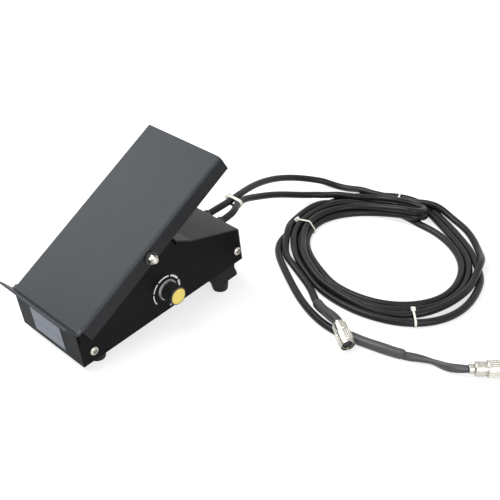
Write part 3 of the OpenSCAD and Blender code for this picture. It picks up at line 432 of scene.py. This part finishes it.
def screw_rows(side, place):
    """Shank and pan head turned about the screw's axis, the crown pushed in where the arms of the cross lie.
    The head's height over a radius is an edge plus a quarter of an ellipse."""
    rim_r = head_d / 2 * np.cos(rim_step * np.arange(rim_rows))
    dome_r = np.concatenate([rim_r, np.linspace(crown_r, crown_tip, crown_rows)])
    dome_h = head_h * (head_edge + (1 - head_edge) * np.sqrt(1 - (2 * dome_r / head_d) ** 2))
    body_r = np.concatenate([[shank_d / 2, shank_d / 2, head_d / 2], dome_r])[:, None]
    body_h = np.concatenate([[-shank_l, 0, 0], dome_h])[:, None]
    turn = np.linspace(0, 2 * np.pi, screw_sides, endpoint=False) + screw_turn
    a = body_r * np.cos(turn - screw_turn - recess_turn)
    b = body_r * np.sin(turn - screw_turn - recess_turn)
    cross = np.where(body_h > crown_from * head_h, np.maximum(cross_arm(a, b), cross_arm(b, a)), 0)
    x = side * (wall_x + body_h - recess_h * cross)
    y = place[0] + body_r * np.cos(turn)
    z = place[1] + body_r * np.sin(turn)
    return seated(np.stack([x, y, z], -1))


screw_grids = [screw_rows(side, place) for side in (-1, 1) for place in screw_places]
screws = grid_mesh("cross_screws", screw_grids, sharp=38)
piece(screws, "base", nickel_plate, "zinc", "side_screws")


# Treadle
# One sheet of 2 mm steel folded into a shallow channel, with a heel lip at the low end.
# Its black powder coat has a painted highlight, a lighter colour, along both long bends and on the upper side
# of the heel lip.

tread_slope, tread_height = np.radians(32.7), 87.18 * mm
bend_x, bend_r, bend_middle = 50.0 * mm, 3.5 * mm, -3.575 * mm
lip_slope, lip_from, heel_y = np.radians(41.7), 96.0 * mm, -90 * mm
upper_facing, bend_gain, highlight_gain = 0.05, 2.6, 2.6


def above_slope(tree, spot, slope):
    """Height of a spot over a plane through the origin that rises along y: z cos(slope) less y sin(slope)."""
    upright = calc(tree, "MULTIPLY", spot["Z"], np.cos(slope))
    return calc(tree, "MULTIPLY_ADD", spot["Y"], -np.sin(slope), upright)


# Painted highlight mask: 1 in the middle of both long bends, and on the side of the heel lip that faces up
# and towards the toe.
edge_highlights = bpy.data.node_groups.new("painted_edge_highlights", "ShaderNodeTree")
edge_highlights.interface.new_socket("Highlight", in_out="OUTPUT", socket_type="NodeSocketFloat")
place = add(edge_highlights, "TexCoord")
spot = add(edge_highlights, "SeparateXYZ", Vector=place.outputs["Object"]).outputs
facing = add(edge_highlights, "SeparateXYZ", Vector=place.outputs["Normal"]).outputs
above = above_slope(edge_highlights, spot, tread_slope)
up = calc(edge_highlights, "MAXIMUM", calc(edge_highlights, "ADD", above, bend_r - tread_height), 0.0)
off = calc(edge_highlights, "ABSOLUTE", calc(edge_highlights, "SUBTRACT", spot["X"], bend_middle))
out = calc(edge_highlights, "MAXIMUM", calc(edge_highlights, "ADD", off, bend_r - bend_x), 0.0)
in_bend = calc(edge_highlights, "MULTIPLY", calc(edge_highlights, "MULTIPLY", up, out), bend_gain / bend_r ** 2)
bend_highlight = calc(edge_highlights, "MINIMUM", in_bend, 1.0)
on_lip = calc(edge_highlights, "GREATER_THAN", above_slope(edge_highlights, spot, lip_slope), lip_from)
heel_end = calc(edge_highlights, "LESS_THAN", spot["Y"], heel_y)
upper_side = calc(edge_highlights, "GREATER_THAN", calc(edge_highlights, "ADD", facing["Y"], facing["Z"]), upper_facing)
lip_highlight = calc(edge_highlights, "MULTIPLY", calc(edge_highlights, "MULTIPLY", on_lip, heel_end), upper_side)
highlight_out = edge_highlights.nodes.new("NodeGroupOutput").inputs["Highlight"]
edge_highlights.links.new(calc(edge_highlights, "MAXIMUM", bend_highlight, lip_highlight), highlight_out)

treadle_coat = surface("treadle_coat", powder, 0.1 * mm, {"Specular IOR Level": 0.2},
                       Colour=(0.0105, 0.0113, 0.0125, 1), Peel=480.0, Satin=0.43, Matt=0.47)
tree = treadle_coat.node_tree
coat = tree.nodes["Principled BSDF"].inputs["Base Color"]
# The painted highlight makes the coat's colour lighter, by up to the gain times the mask.
highlight = add(tree, "Group", {"node_tree": edge_highlights}).outputs["Highlight"]
lighter = calc(tree, "MULTIPLY_ADD", highlight, highlight_gain, 1.0)
tree.links.new(scaled(tree, coat.links[0].from_socket, lighter), coat)
paint(treadle_coat, "pedal")


# Cables
# Two round control cables in soft black sheath, from ribbed rubber boots in the rear wall to one flat coil.
# They fold back once behind the coil, go round it a little over two turns, and leave it towards their plugs.

cable_d = 7.4
boot_x, boot_run = (-4.575, -24.075), [(100.56, 42.73), (111.97, 44.19), (121.89, 45.46)]
coil_at, coil_turn, coil_straight, coil_ease = (106.0, 240.0), np.radians(-11.0), 20.0, 2.5
plug_1_at, plug_1_dir = (162.1, 106.8, 15.6), (0.85, -0.48, -0.22)
plug_2_at, plug_2_dir = (280.5, 141.5, 7.8), (0.7, 0.714, 0)

# The leads and the tails are points x, y, z of the route of the solids. Left out are the last point of each
# lead, inside the solid coil, and the point 6 mm behind each plug, where the cable would bend too tightly.
lead_a = [
    (-7, 138, 46.5), (-13, 149, 45.5), (-20.5, 160, 43.5), (-26, 174, 40.5), (-29.5, 191, 35), (-31, 210, 29),
    (-30, 231, 22.5), (-26, 252, 15.5), (-18, 272, 10.5), (-4, 288, 10.5), (15, 298, 13.5)]
lead_b = [
    (-24.5, 141, 47), (-27.5, 155, 46), (-32.5, 170, 44), (-39, 189, 41), (-46, 212, 36.5), (-51, 237, 30.5),
    (-52, 262, 23.5), (-47, 286, 16), (-36, 306, 9.5), (-17, 319, 7), (7, 323, 9.5), (31, 321, 12)]
tail_a = [
    (25, 185, 9), (34, 174, 8.5), (45, 165, 7.5), (62, 157.5, 5), (80, 150, 4), (101, 139.5, 4.2),
    (119.5, 126.5, 6), (132.5, 118.8, 9), (144.5, 113.2, 12.4)]
tail_b = [
    (24, 176, 4), (32, 167, 4), (44, 157, 4), (66, 143, 4), (93, 127, 4), (121, 114, 4), (150, 106.5, 4),
    (180, 108.5, 4), (207, 115, 4), (227, 121, 4), (240, 128, 4), (252, 132.5, 4), (263.5, 133.5, 5.2)]

# The way into the fold and the turns are rows of coil angle in degrees, radius and height.
fold_a = [(134, 88.5, 13.5), (120, 91.5, 12.6), (107, 92.5, 12.2)]
fold_b = [(131, 95, 13), (119, 95.5, 8.5), (107, 95.5, 4.8)]
turns_a = [
    (107, 64, 20), (125, 65, 17), (145, 66.5, 12.3), (190, 69, 10.5), (225, 68.5, 10.5), (250, 74, 10.7),
    (270, 86, 10.7), (300, 91, 8.5), (325, 95, 7.5), (342, 94, 10), (358, 90, 11), (372, 87.5, 11.2),
    (384, 86, 11.3), (397, 86.5, 11.3), (412, 89.5, 10), (425, 95, 7), (436, 101.5, 5), (444, 107, 5),
    (451, 110, 7.5), (457, 109, 10), (464, 105, 11), (474, 99, 8), (483, 96, 4.5), (497, 89, 4),
    (540, 74, 4), (585, 72, 4), (617, 75.5, 4), (635, 84, 4), (660, 85.5, 4), (697, 86, 4), (714, 84.5, 4),
    (733, 80.5, 4), (756, 77.5, 4), (776, 78, 4), (787, 79, 4), (796, 81, 4), (808, 88, 4), (820, 96.5, 4),
    (830, 101.5, 4), (857, 98.5, 4), (868, 94.5, 4), (880, 89, 7.5), (891, 86, 10.4), (905, 84.5, 10.6),
    (922, 82.5, 10.3), (940, 85, 9.3)]
turns_b = [
    (107, 66, 12), (125, 66, 9.5), (145, 65, 5), (190, 65, 4), (225, 64, 4), (257, 68, 4), (275, 76, 4),
    (300, 77.5, 4), (337, 78, 4), (354, 77, 4), (373, 73.5, 4), (396, 70.5, 4), (416, 70.5, 4),
    (434, 73, 4), (450, 75, 4), (475, 76, 6), (500, 78, 10.5), (540, 77.5, 10.5), (585, 76, 10.5),
    (605, 79, 10.5), (622, 85, 8.5), (640, 91.5, 5), (655, 96, 4), (670, 101, 4), (685, 105.5, 4),
    (700, 106.5, 4), (715, 103, 4), (730, 97, 4), (740, 93, 4), (751, 90.5, 4), (764, 87, 4), (776, 86, 4),
    (787, 87, 4), (796, 89, 4), (808, 96, 4), (820, 104, 4), (830, 109, 4), (857, 105.5, 4), (880, 95.5, 4),
    (900, 85.5, 4), (922, 80, 4), (940, 83.5, 4)]

fold_step, turn_step, back_step, settle_gap, draw_gap = 9, 12, 22.5, 4.0, 2.0
fold_reach, fold_before, fold_free = 6, 140, 0.02
held_a, held_b = (48, 30), (56, 14)


def coil_points(keys, step):
    """Points round the coil for rows of angle, radius and height: a cubic from row to row, with mean slopes.
    The coil is a circle whose two halves are drawn apart along its length, turned about its centre."""
    angle, radius, height = np.array(keys, float).T
    count = int(abs(angle[-1] - angle[0]) / step) + 1
    at = np.linspace(angle[0], angle[-1], count)
    way = np.sign(angle[-1] - angle[0])
    k = np.clip(np.searchsorted(way * angle, way * at, side="right") - 1, 0, len(angle) - 2)
    span = angle[k + 1] - angle[k]
    t = (at - angle[k]) / span

    def cubic(value):
        """A cubic that meets the given values and their slopes at the rows before and after."""
        slope = np.gradient(value, angle)
        start = value[k] * (1 + 2 * t) * (1 - t) ** 2 + slope[k] * span * t * (1 - t) ** 2
        return start + value[k + 1] * t ** 2 * (3 - 2 * t) + slope[k + 1] * span * t ** 2 * (t - 1)

    r, z = cubic(radius), cubic(height)
    turn = np.radians(at)
    along = coil_straight * np.tanh(coil_ease * np.cos(turn)) / np.tanh(coil_ease) + r * np.cos(turn)
    across = r * np.sin(turn)
    x = coil_at[0] + along * np.cos(coil_turn) - across * np.sin(coil_turn)
    y = coil_at[1] + along * np.sin(coil_turn) + across * np.cos(coil_turn)
    return np.stack([x, y, z], -1)


def length_along(line):
    """Distance of each point of a line from its start."""
    return np.concatenate([[0], np.cumsum(np.linalg.norm(np.diff(line, axis=0), axis=1))])


def point_at(line, s):
    """The points of a line at some distances from its start."""
    return np.stack([np.interp(s, length_along(line), line[:, k]) for k in range(3)], -1)


def smooth_line(points, step):
    """Natural cubic spline through points, over their chord lengths, with its points at even distances."""
    p = np.array(points, float)
    h = np.linalg.norm(np.diff(p, axis=0), axis=1)
    n = len(p)
    i = np.arange(1, n - 1)
    equations, right = np.eye(n), np.zeros((n, 3))
    equations[i, i - 1], equations[i, i], equations[i, i + 1] = h[:-1], 2 * (h[:-1] + h[1:]), h[1:]
    slope = np.diff(p, axis=0) / h[:, None]
    right[1:-1] = 6 * np.diff(slope, axis=0)
    bend = np.linalg.solve(equations, right)
    s = length_along(p)
    at = np.linspace(0, s[-1], int(s[-1]))
    k = np.clip(np.searchsorted(s, at, side="right") - 1, 0, n - 2)
    after, before, hk = (s[k + 1] - at)[:, None], (at - s[k])[:, None], h[k][:, None]
    curve = (bend[k] * after ** 3 + bend[k + 1] * before ** 3) / (6 * hk)
    curve += (p[k] / hk - bend[k] * hk / 6) * after + (p[k + 1] / hk - bend[k + 1] * hk / 6) * before
    total = length_along(curve)[-1]
    return point_at(curve, np.linspace(0, total, int(round(total / step)) + 1))


def cable_line(x, lead, fold, turns, tail, plug):
    """One cable from its boot to its plug: lead, half circle where it folds back, turns of the coil and tail.
    Gives the line and a mask of the points near the fold."""
    come, wound = coil_points(fold, fold_step), coil_points(turns, turn_step)
    gap = wound[0] - come[-1]
    ahead = np.cross(gap, (0, 0, 1.0))
    ahead *= np.sign(ahead[0]) / np.linalg.norm(ahead)
    half = np.radians(np.arange(back_step, 180, back_step))[:, None]
    back = (come[-1] + wound[0] - np.cos(half) * gap + np.sin(half) * np.linalg.norm(gap) * ahead) / 2
    boot = [(x, y, z) for y, z in boot_run]
    line = smooth_line(np.concatenate([boot, lead, come, back, wound, tail, [plug]]), settle_gap)
    near = np.linalg.norm(line[:, None] - back[None], axis=-1).min(1) < fold_reach
    return line, near & (np.arange(len(line)) < fold_before)


def free_share(near_fold, held):
    """Each point's share of settling: little near the fold, and none for the points held at the two ends."""
    share = np.where(near_fold, fold_free, 1.0)
    share[:held[0]] = 0
    share[-held[1]:] = 0
    return share


def settle(lines, free):
    """Lets cables lie on each other. Every round pushes apart points of different strands that are closer
    than a diameter, evens out the bending, lets them sink, and keeps them on the floor.
    free is each point's share of that."""
    rounds, look_again, last_rounds = 240, 12, 80
    look_reach, same_strand = 1.8 * cable_d, 7
    push_share, even_share, sink, most = 0.28, 0.35, 0.02, 0.8
    lowest, tiny = cable_d / 2 + 0.1, 1e-9
    sizes = [len(line) for line in lines]
    q, loose = np.concatenate(lines), np.concatenate(free)[:, None]
    owner = np.repeat(np.arange(len(lines)), sizes)
    order = np.concatenate([np.arange(n) for n in sizes])
    inner = ((order > 0) & (order < np.array(sizes)[owner] - 1))[:, None]
    for turn in range(rounds):
        if turn % look_again == 0:
            i, j = np.nonzero(np.triu(((q[:, None] - q[None]) ** 2).sum(-1) < look_reach ** 2, 1))
            other = (owner[i] != owner[j]) | (j - i > same_strand)
            i, j = i[other], j[other]
        apart = q[i] - q[j]
        distance = np.linalg.norm(apart, axis=1)[:, None] + tiny
        push = push_share * apart / distance * np.maximum(cable_d - distance, 0)
        move = np.zeros_like(q)
        np.add.at(move, i, push)
        np.add.at(move, j, -push)
        curve, uneven = np.zeros_like(q), np.zeros_like(q)
        curve[1:-1] = (q[:-2] + q[2:]) / 2 - q[1:-1]
        uneven[1:-1] = curve[1:-1] - (curve[:-2] + curve[2:]) / 2
        move += np.where(inner, even_share * uneven, 0)
        move[:, 2] -= sink if turn < rounds - last_rounds else 0
        q = q + loose * np.clip(move, -most, most)
        q[:, 2] = np.maximum(q[:, 2], lowest)
    return np.split(q, np.cumsum(sizes)[:-1])


line_a, near_a = cable_line(boot_x[0], lead_a, fold_a, turns_a, tail_a, plug_1_at)
line_b, near_b = cable_line(boot_x[1], lead_b, fold_b, turns_b, tail_b, plug_2_at)
line_a, line_b = settle([line_a, line_b], [free_share(near_a, held_a), free_share(near_b, held_b)])
line_a, line_b = smooth_line(line_a, draw_gap) * mm, smooth_line(line_b, draw_gap) * mm

lay_turn, lay_strands, lay_relief = 52.0, 4, 0.6
sheath, takes, gives = effect(
    "cable_sheath_skin", [("Colour", "Color"), ("Grain", "Float"), ("Rough", "Float")])
place = add(sheath, "TexCoord")
parts = add(sheath, "SeparateXYZ", Vector=place.outputs["UV"])
lay = calc(sheath, "MULTIPLY", parts.outputs["X"], lay_turn)
ridge = calc(sheath, "SINE", calc(sheath, "MULTIPLY_ADD", parts.outputs["Y"], lay_strands * 2 * np.pi, lay))
dust = add(sheath, "TexNoise", Vector=place.outputs["Object"], Scale=55.0, Detail=5.0, Roughness=0.65)
grain = add(sheath, "TexNoise", Vector=place.outputs["Object"], Scale=takes["Grain"], Detail=2.0)
sheath.links.new(shaded(sheath, takes["Colour"], dust.outputs["Fac"], 0.82, 1.2), gives["Colour"])
patch = between(sheath, dust.outputs["Fac"], -0.05, 0.07)
sheath.links.new(calc(sheath, "ADD", takes["Rough"], patch), gives["Roughness"])
sheath.links.new(calc(sheath, "MULTIPLY_ADD", ridge, lay_relief, grain.outputs["Fac"]), gives["Relief"])

cable_black = surface("cable_black", sheath, 0.06 * mm, {"Specular IOR Level": 0.22},
                      Colour=(0.0095, 0.0095, 0.01, 1), Grain=1500.0, Rough=0.34)
thin_l, thin_taper, thin_d = 64 * mm, 6 * mm, 6.0 * mm
core_count, core_relief, core_pitch = 2, 0.7 * mm, 42 * mm
cable_sides = 24
around = np.linspace(0, 1, cable_sides + 1)


def cable_radius(line, thin):
    """Sheath radius along a cable and round it. A thin one shrinks onto two twisted cores near the plug."""
    s = length_along(line)
    left = (s[-1] - s)[:, None]
    twist = core_count * 2 * np.pi * around[:-1] + 2 * np.pi * left / core_pitch
    core = thin_d / 2 + core_relief * np.cos(twist)
    share = eased((thin_l - left) / thin_taper) if thin else 0 * left
    return cable_d * mm / 2 * (1 - share) + core * share


def cable_tube(name, line, radius, last=0):
    """Mesh of a round skin on a line, or on its last points only, with a map along and around it."""
    rows = tube_rows(line[-last:], radius[-last:], cable_sides)
    return grid_mesh(name, [rows], uv=(length_along(line)[-last:], around))


cable_a = cable_tube("cable_a", line_a, cable_radius(line_a, False))
cable_b = cable_tube("cable_b", line_b, cable_radius(line_b, True))
piece(cable_a, "base", cable_black, "cable_sheath", "cable_a_lead", "cable_a_tail", "cable_coil")
piece(cable_b, "base", cable_black, "cable_sheath", "cable_b_lead", "cable_b_tail")
boot_rubber = surface("boot_rubber", moulded, 0.04 * mm,
                      Colour=(0.014, 0.014, 0.0145, 1), Grain=1200.0, Rough=0.52)
paint(boot_rubber, "cable_boot_a", "cable_boot_b")


# Shrink sleeves
# A shrink sleeve over each cable before its plug, thicker than the cable, with a step at its end: black on
# the first. On the second it is a lighter grey, and a thin one goes on to the plug, tight on the twisted
# cores.

sleeve_black = surface("sleeve_black", sheath, 0.05 * mm,
                       Colour=(0.019, 0.019, 0.02, 1), Grain=900.0, Rough=0.42)
sleeve_grey = surface("sleeve_grey", sheath, 0.05 * mm,
                      Colour=(0.044, 0.044, 0.046, 1), Grain=900.0, Rough=0.42)
clamp_steps, clamp_l = np.array([2, 4, 6, 8]) * mm, 8 * mm
end_sink, end_l, wave_l, wave_fade = 0.3, 1.5 * mm, 5.5 * mm, 6 * mm
last_stretch, sleeve_gap = slice(-90, -2, 3), 1.0
thin_points, thin_wall = 31, 0.25 * mm


def sleeve(name, line, way, first, last, radius, wave, material):
    """Tube over a stretch of cable between two distances from its plug end; it may go on over the clamp.
    Its ends close in onto the cable, and the shrinking leaves a slow wave in its radius."""
    beyond = np.outer(clamp_steps, way / np.linalg.norm(way))
    longer = smooth_line(np.concatenate([line[last_stretch], line[-1] + beyond]) / mm, sleeve_gap) * mm
    left = np.linspace(first, last, int((first - last) / mm) + 1)
    path = point_at(longer, length_along(longer)[-1] - clamp_l - left)
    edge = np.minimum(first - left, left - last)
    low = cable_d / 2 - end_sink
    r = low * mm + (radius - low) * mm * np.sqrt(eased(edge / end_l))
    r += wave * mm * np.sin(left / wave_l) * eased(edge / wave_fade)
    path[:, 2] = np.maximum(path[:, 2], r)
    made = grid_mesh(name, [tube_rows(path, r[:, None], cable_sides)], uv=(left, around))
    return piece(made, "base", material, "cable_sheath")


sleeve_a = sleeve("sleeve_a", line_a, plug_1_dir, first=44 * mm, last=-4 * mm, radius=4.8, wave=0.2,
                  material=sleeve_black)
sleeve_b = sleeve("sleeve_b", line_b, plug_2_dir, first=112 * mm, last=58 * mm, radius=4.9, wave=0.1,
                  material=sleeve_grey)
thin_sleeve = cable_tube("thin_sleeve", line_b, cable_radius(line_b, True) + thin_wall, thin_points)
piece(thin_sleeve, "base", sleeve_grey, "cable_sheath")


# Cable ties
# White nylon ties: a thin strap round a few strands, pulled through a small square head and cut off short.
# Each is moulded in one piece. One holds the two leads behind the boots, and three hold strands of the coil.

strap_t, strap_gap, strap_sink, strap_points, pressed = 1.1, 0.25, 0.3, 120, 0.3 * mm
# The strap's section as shares of its thickness and its width.
strap_section = [(0, -0.5), (0.35, -0.42), (0.5, -0.3), (0.5, 0.3),
                 (0.35, 0.42), (0, 0.5), (-0.3, 0.4), (-0.3, -0.4)]
block_half, block_over, block_round, block_bevel = 2.4, 1.0, 0.7, 0.4
block_h, block_sink, block_points, run_step = 3.4, 0.3, 40, 2 * mm
tail_rise, tail_lean, tail_from, tail_round, tail_points = 1.6, 0.2, 1.0, 0.3, 24
tie_white = surface("tie_white", moulded, 0.02 * mm, Colour=(0.8, 0.79, 0.7, 1), Grain=700.0, Rough=0.4)


def strands_across(at, run, reach):
    """Where the cables cross the plane of a point and a normal, within reach, in the plane's axes."""
    level = np.cross(run, (0.0, 0.0, 1.0))
    level /= np.linalg.norm(level)
    over = np.cross(level, run)
    found = []
    for line in (line_a, line_b):
        ahead = (line - at) @ run
        k = np.nonzero(ahead[:-1] * ahead[1:] <= 0)[0]
        share = (ahead[k] / (ahead[k] - ahead[k + 1]))[:, None]
        cross = line[k] + (line[k + 1] - line[k]) * share - at
        found.append(np.stack([cross @ level, cross @ over], -1)[np.linalg.norm(cross, axis=1) < reach])
    return np.concatenate(found), level, over


def cable_tie(name, line, s, reach, head_turn, tail_l, width):
    """Strap along the line that a thread pulled round the strands would take, with a head and a cut tail.
    What would come out below the floor is pressed flat onto it."""
    at = point_at(line, s)
    run = point_at(line, s + run_step) - at
    run /= np.linalg.norm(run)
    centres, level, over = strands_across(at, run, reach * mm)

    def placed(flat, along):
        """Points of the plane across the cable, moved along it; low ones are pressed onto the floor."""
        p = at + flat[..., :1] * level + flat[..., 1:] * over + np.asarray(along)[..., None] * run
        p[..., 2] = np.where(p[..., 2] < pressed, pressed * np.exp((p[..., 2] - pressed) / mm), p[..., 2])
        return p

    def strap_row(outward, along):
        """A line round the strands at a share of the strap's thickness and a share of its width."""
        radius = (cable_d / 2 + strap_gap + strap_t * (strap_sink + outward)) * mm
        return placed(hull_line(centres, radius, strap_points), np.full(strap_points, along * width * mm))

    turn = np.radians(head_turn)
    out, side = np.array([np.cos(turn), np.sin(turn)]), np.array([-np.sin(turn), np.cos(turn)])
    foot = centres[np.argmax(centres @ out)] + (cable_d / 2 + block_sink) * mm * out
    half = width / 2 + block_over
    block = corners((-block_half, block_half), (-half, half), block_round)
    plan = hull_line(block, block_round, block_points) * mm
    inset = hull_line(block, block_round - block_bevel, block_points) * mm
    levels = ((plan, 0), (plan, block_h - block_bevel), (inset, block_h))
    head = np.stack([placed(foot + h * mm * out + p[:, :1] * side, p[:, 1]) for p, h in levels])

    end = corners((-width / 2, width / 2), (-strap_t / 2, strap_t / 2), tail_round)
    end = hull_line(end, tail_round, tail_points) * mm
    root = foot + tail_rise * mm * out + tail_from * mm * side
    reached = [root + d * (tail_lean * out + side) for d in (0, tail_l * mm)]
    tail = np.stack([placed(spot + end[:, 1:] * out, end[:, 0]) for spot in reached])

    made = grid_mesh(name, [head, tail])
    strap = np.stack([strap_row(outward, along) for outward, along in strap_section], 1)
    loop = grid_mesh(name + "_strap", [strap], ring=True)
    return [piece(x, "base", tie_white, "nylon") for x in (made, loop)]


lead_tie = cable_tie("lead_tie", line_b, 57 * mm, reach=16, head_turn=135, tail_l=2, width=5.0)
inner_tie = cable_tie("inner_tie", line_a, 481 * mm, reach=9, head_turn=45, tail_l=2, width=2.2)
top_tie = cable_tie("top_tie", line_b, 1584 * mm, reach=9, head_turn=200, tail_l=2, width=2.2)
front_tie = cable_tie("front_tie", line_b, 1286 * mm, reach=14, head_turn=115, tail_l=2, width=2.2)


# Plugs
# Round plugs, turned and nickel plated, with a clamp for the cable, a shell and a knurled coupling ring.
# A dark insulating insert is pressed into each.

insert_black = surface("insert_black", moulded, 0.02 * mm,
                       Colour=(0.012, 0.012, 0.014, 1), Grain=1600.0, Rough=0.5)
paint(nickel_plate, "plug_1_body", "plug_1_ring", "plug_2_body", "plug_2_ring")
paint(insert_black, "plug_1_insert", "plug_2_insert")


# Floor, light and camera
# A white studio floor that keeps a faint shadow, a soft lamp overhead, one from the left that shines on the
# treadle, a weak one from the right, and the camera at the photograph's angle.

camera_at, camera_lens = (579.225 * mm, -413.134 * mm, 511.6 * mm), 65.54
yaw, pitch, roll = np.radians([-45.48, -32.37, -0.47])
ahead = np.array([np.sin(yaw) * np.cos(pitch), np.cos(yaw) * np.cos(pitch), np.sin(pitch)])
level = np.array([np.cos(yaw), -np.sin(yaw), 0.0])
upward = np.cross(level, ahead)
right = np.cos(roll) * level + np.sin(roll) * upward
top = np.cos(roll) * upward - np.sin(roll) * level
camera = bpy.data.objects.new("camera", bpy.data.cameras.new("camera"))
camera.data.lens = camera_lens
camera.data.sensor_width = 36.0
camera.data.clip_start = 0.01
pose = np.eye(4)
pose[:3] = np.stack([right, top, -ahead, camera_at], -1)
camera.matrix_world = pose.T.tolist()
bpy.context.scene.collection.objects.link(camera)
bpy.context.scene.camera = camera

floor_half, floor_glow = 4.0, 0.68
floor_corners = [(x * floor_half, y * floor_half, 0) for x, y in ((-1, -1), (1, -1), (1, 1), (-1, 1))]
floor_mesh = bpy.data.meshes.new("floor")
floor_mesh.from_pydata(floor_corners, [], [(0, 1, 2, 3)])
floor = bpy.data.objects.new("floor", floor_mesh)
bpy.context.scene.collection.objects.link(floor)


def sees_white(tree):
    """1 for rays from the camera, off a glossy surface or through a clear one, and 0 for all others."""
    rays = add(tree, "LightPath")
    mirrored = calc(tree, "MAXIMUM", rays.outputs["Is Glossy Ray"], rays.outputs["Is Transmission Ray"])
    return calc(tree, "MAXIMUM", rays.outputs["Is Camera Ray"], mirrored)


floor_white = bpy.data.materials.new("floor_white")
floor_white.use_nodes = True
tree = floor_white.node_tree
tree.nodes.clear()
paper = add(tree, "BsdfDiffuse", Color=(0.45, 0.45, 0.45, 1))
shine = calc(tree, "MULTIPLY", sees_white(tree), floor_glow)
glow = add(tree, "Emission", Color=(1, 1, 1, 1), Strength=shine)
both = add(tree, "AddShader")
tree.links.new(paper.outputs["BSDF"], both.inputs[0])
tree.links.new(glow.outputs["Emission"], both.inputs[1])
tree.links.new(both.outputs["Shader"], add(tree, "OutputMaterial").inputs["Surface"])
floor_mesh.materials.append(floor_white)

world = bpy.data.worlds.new("studio")
bpy.context.scene.world = world
world.use_nodes = True
tree = world.node_tree
tree.nodes.clear()
fill = add(tree, "Background", Color=(0.96, 0.98, 1, 1), Strength=0.45)
backdrop = add(tree, "Background", Color=(1, 1, 1, 1), Strength=1.0)
choice = add(tree, "MixShader", Fac=sees_white(tree))
tree.links.new(fill.outputs["Background"], choice.inputs[1])
tree.links.new(backdrop.outputs["Background"], choice.inputs[2])
tree.links.new(choice.outputs["Shader"], add(tree, "OutputWorld").inputs["Surface"])


def soft_lamp(name, place, target, size, watts, colour=(1.0, 1.0, 1.0)):
    """A square lamp that faces a point."""
    lamp = bpy.data.objects.new(name, bpy.data.lights.new(name, "AREA"))
    lamp.data.shape = "SQUARE"
    lamp.data.size = size
    lamp.data.energy = watts
    lamp.data.color = colour
    away = np.array(place) - target
    away /= np.linalg.norm(away)
    side = np.cross((0.0, 1.0, 0.0), away)
    side /= np.linalg.norm(side)
    turn = np.eye(4)
    turn[:3] = np.stack([side, np.cross(away, side), away, place], -1)
    lamp.matrix_world = turn.T.tolist()
    bpy.context.scene.collection.objects.link(lamp)


soft_lamp("overhead", (-0.2, -0.35, 1.2), (0.05, 0.05, 0.0), size=0.65, watts=9.0)
soft_lamp("from_left", (-0.84, -0.31, 0.89), (0.0, 0.0, 0.09), size=0.9, watts=14.4, colour=(0.9, 0.95, 1.0))
soft_lamp("from_right", (1.2, -0.3, 0.6), (0.05, 0.0, 0.04), size=0.8, watts=8.0)
bpy.context.scene.view_settings.view_transform = "Standard"
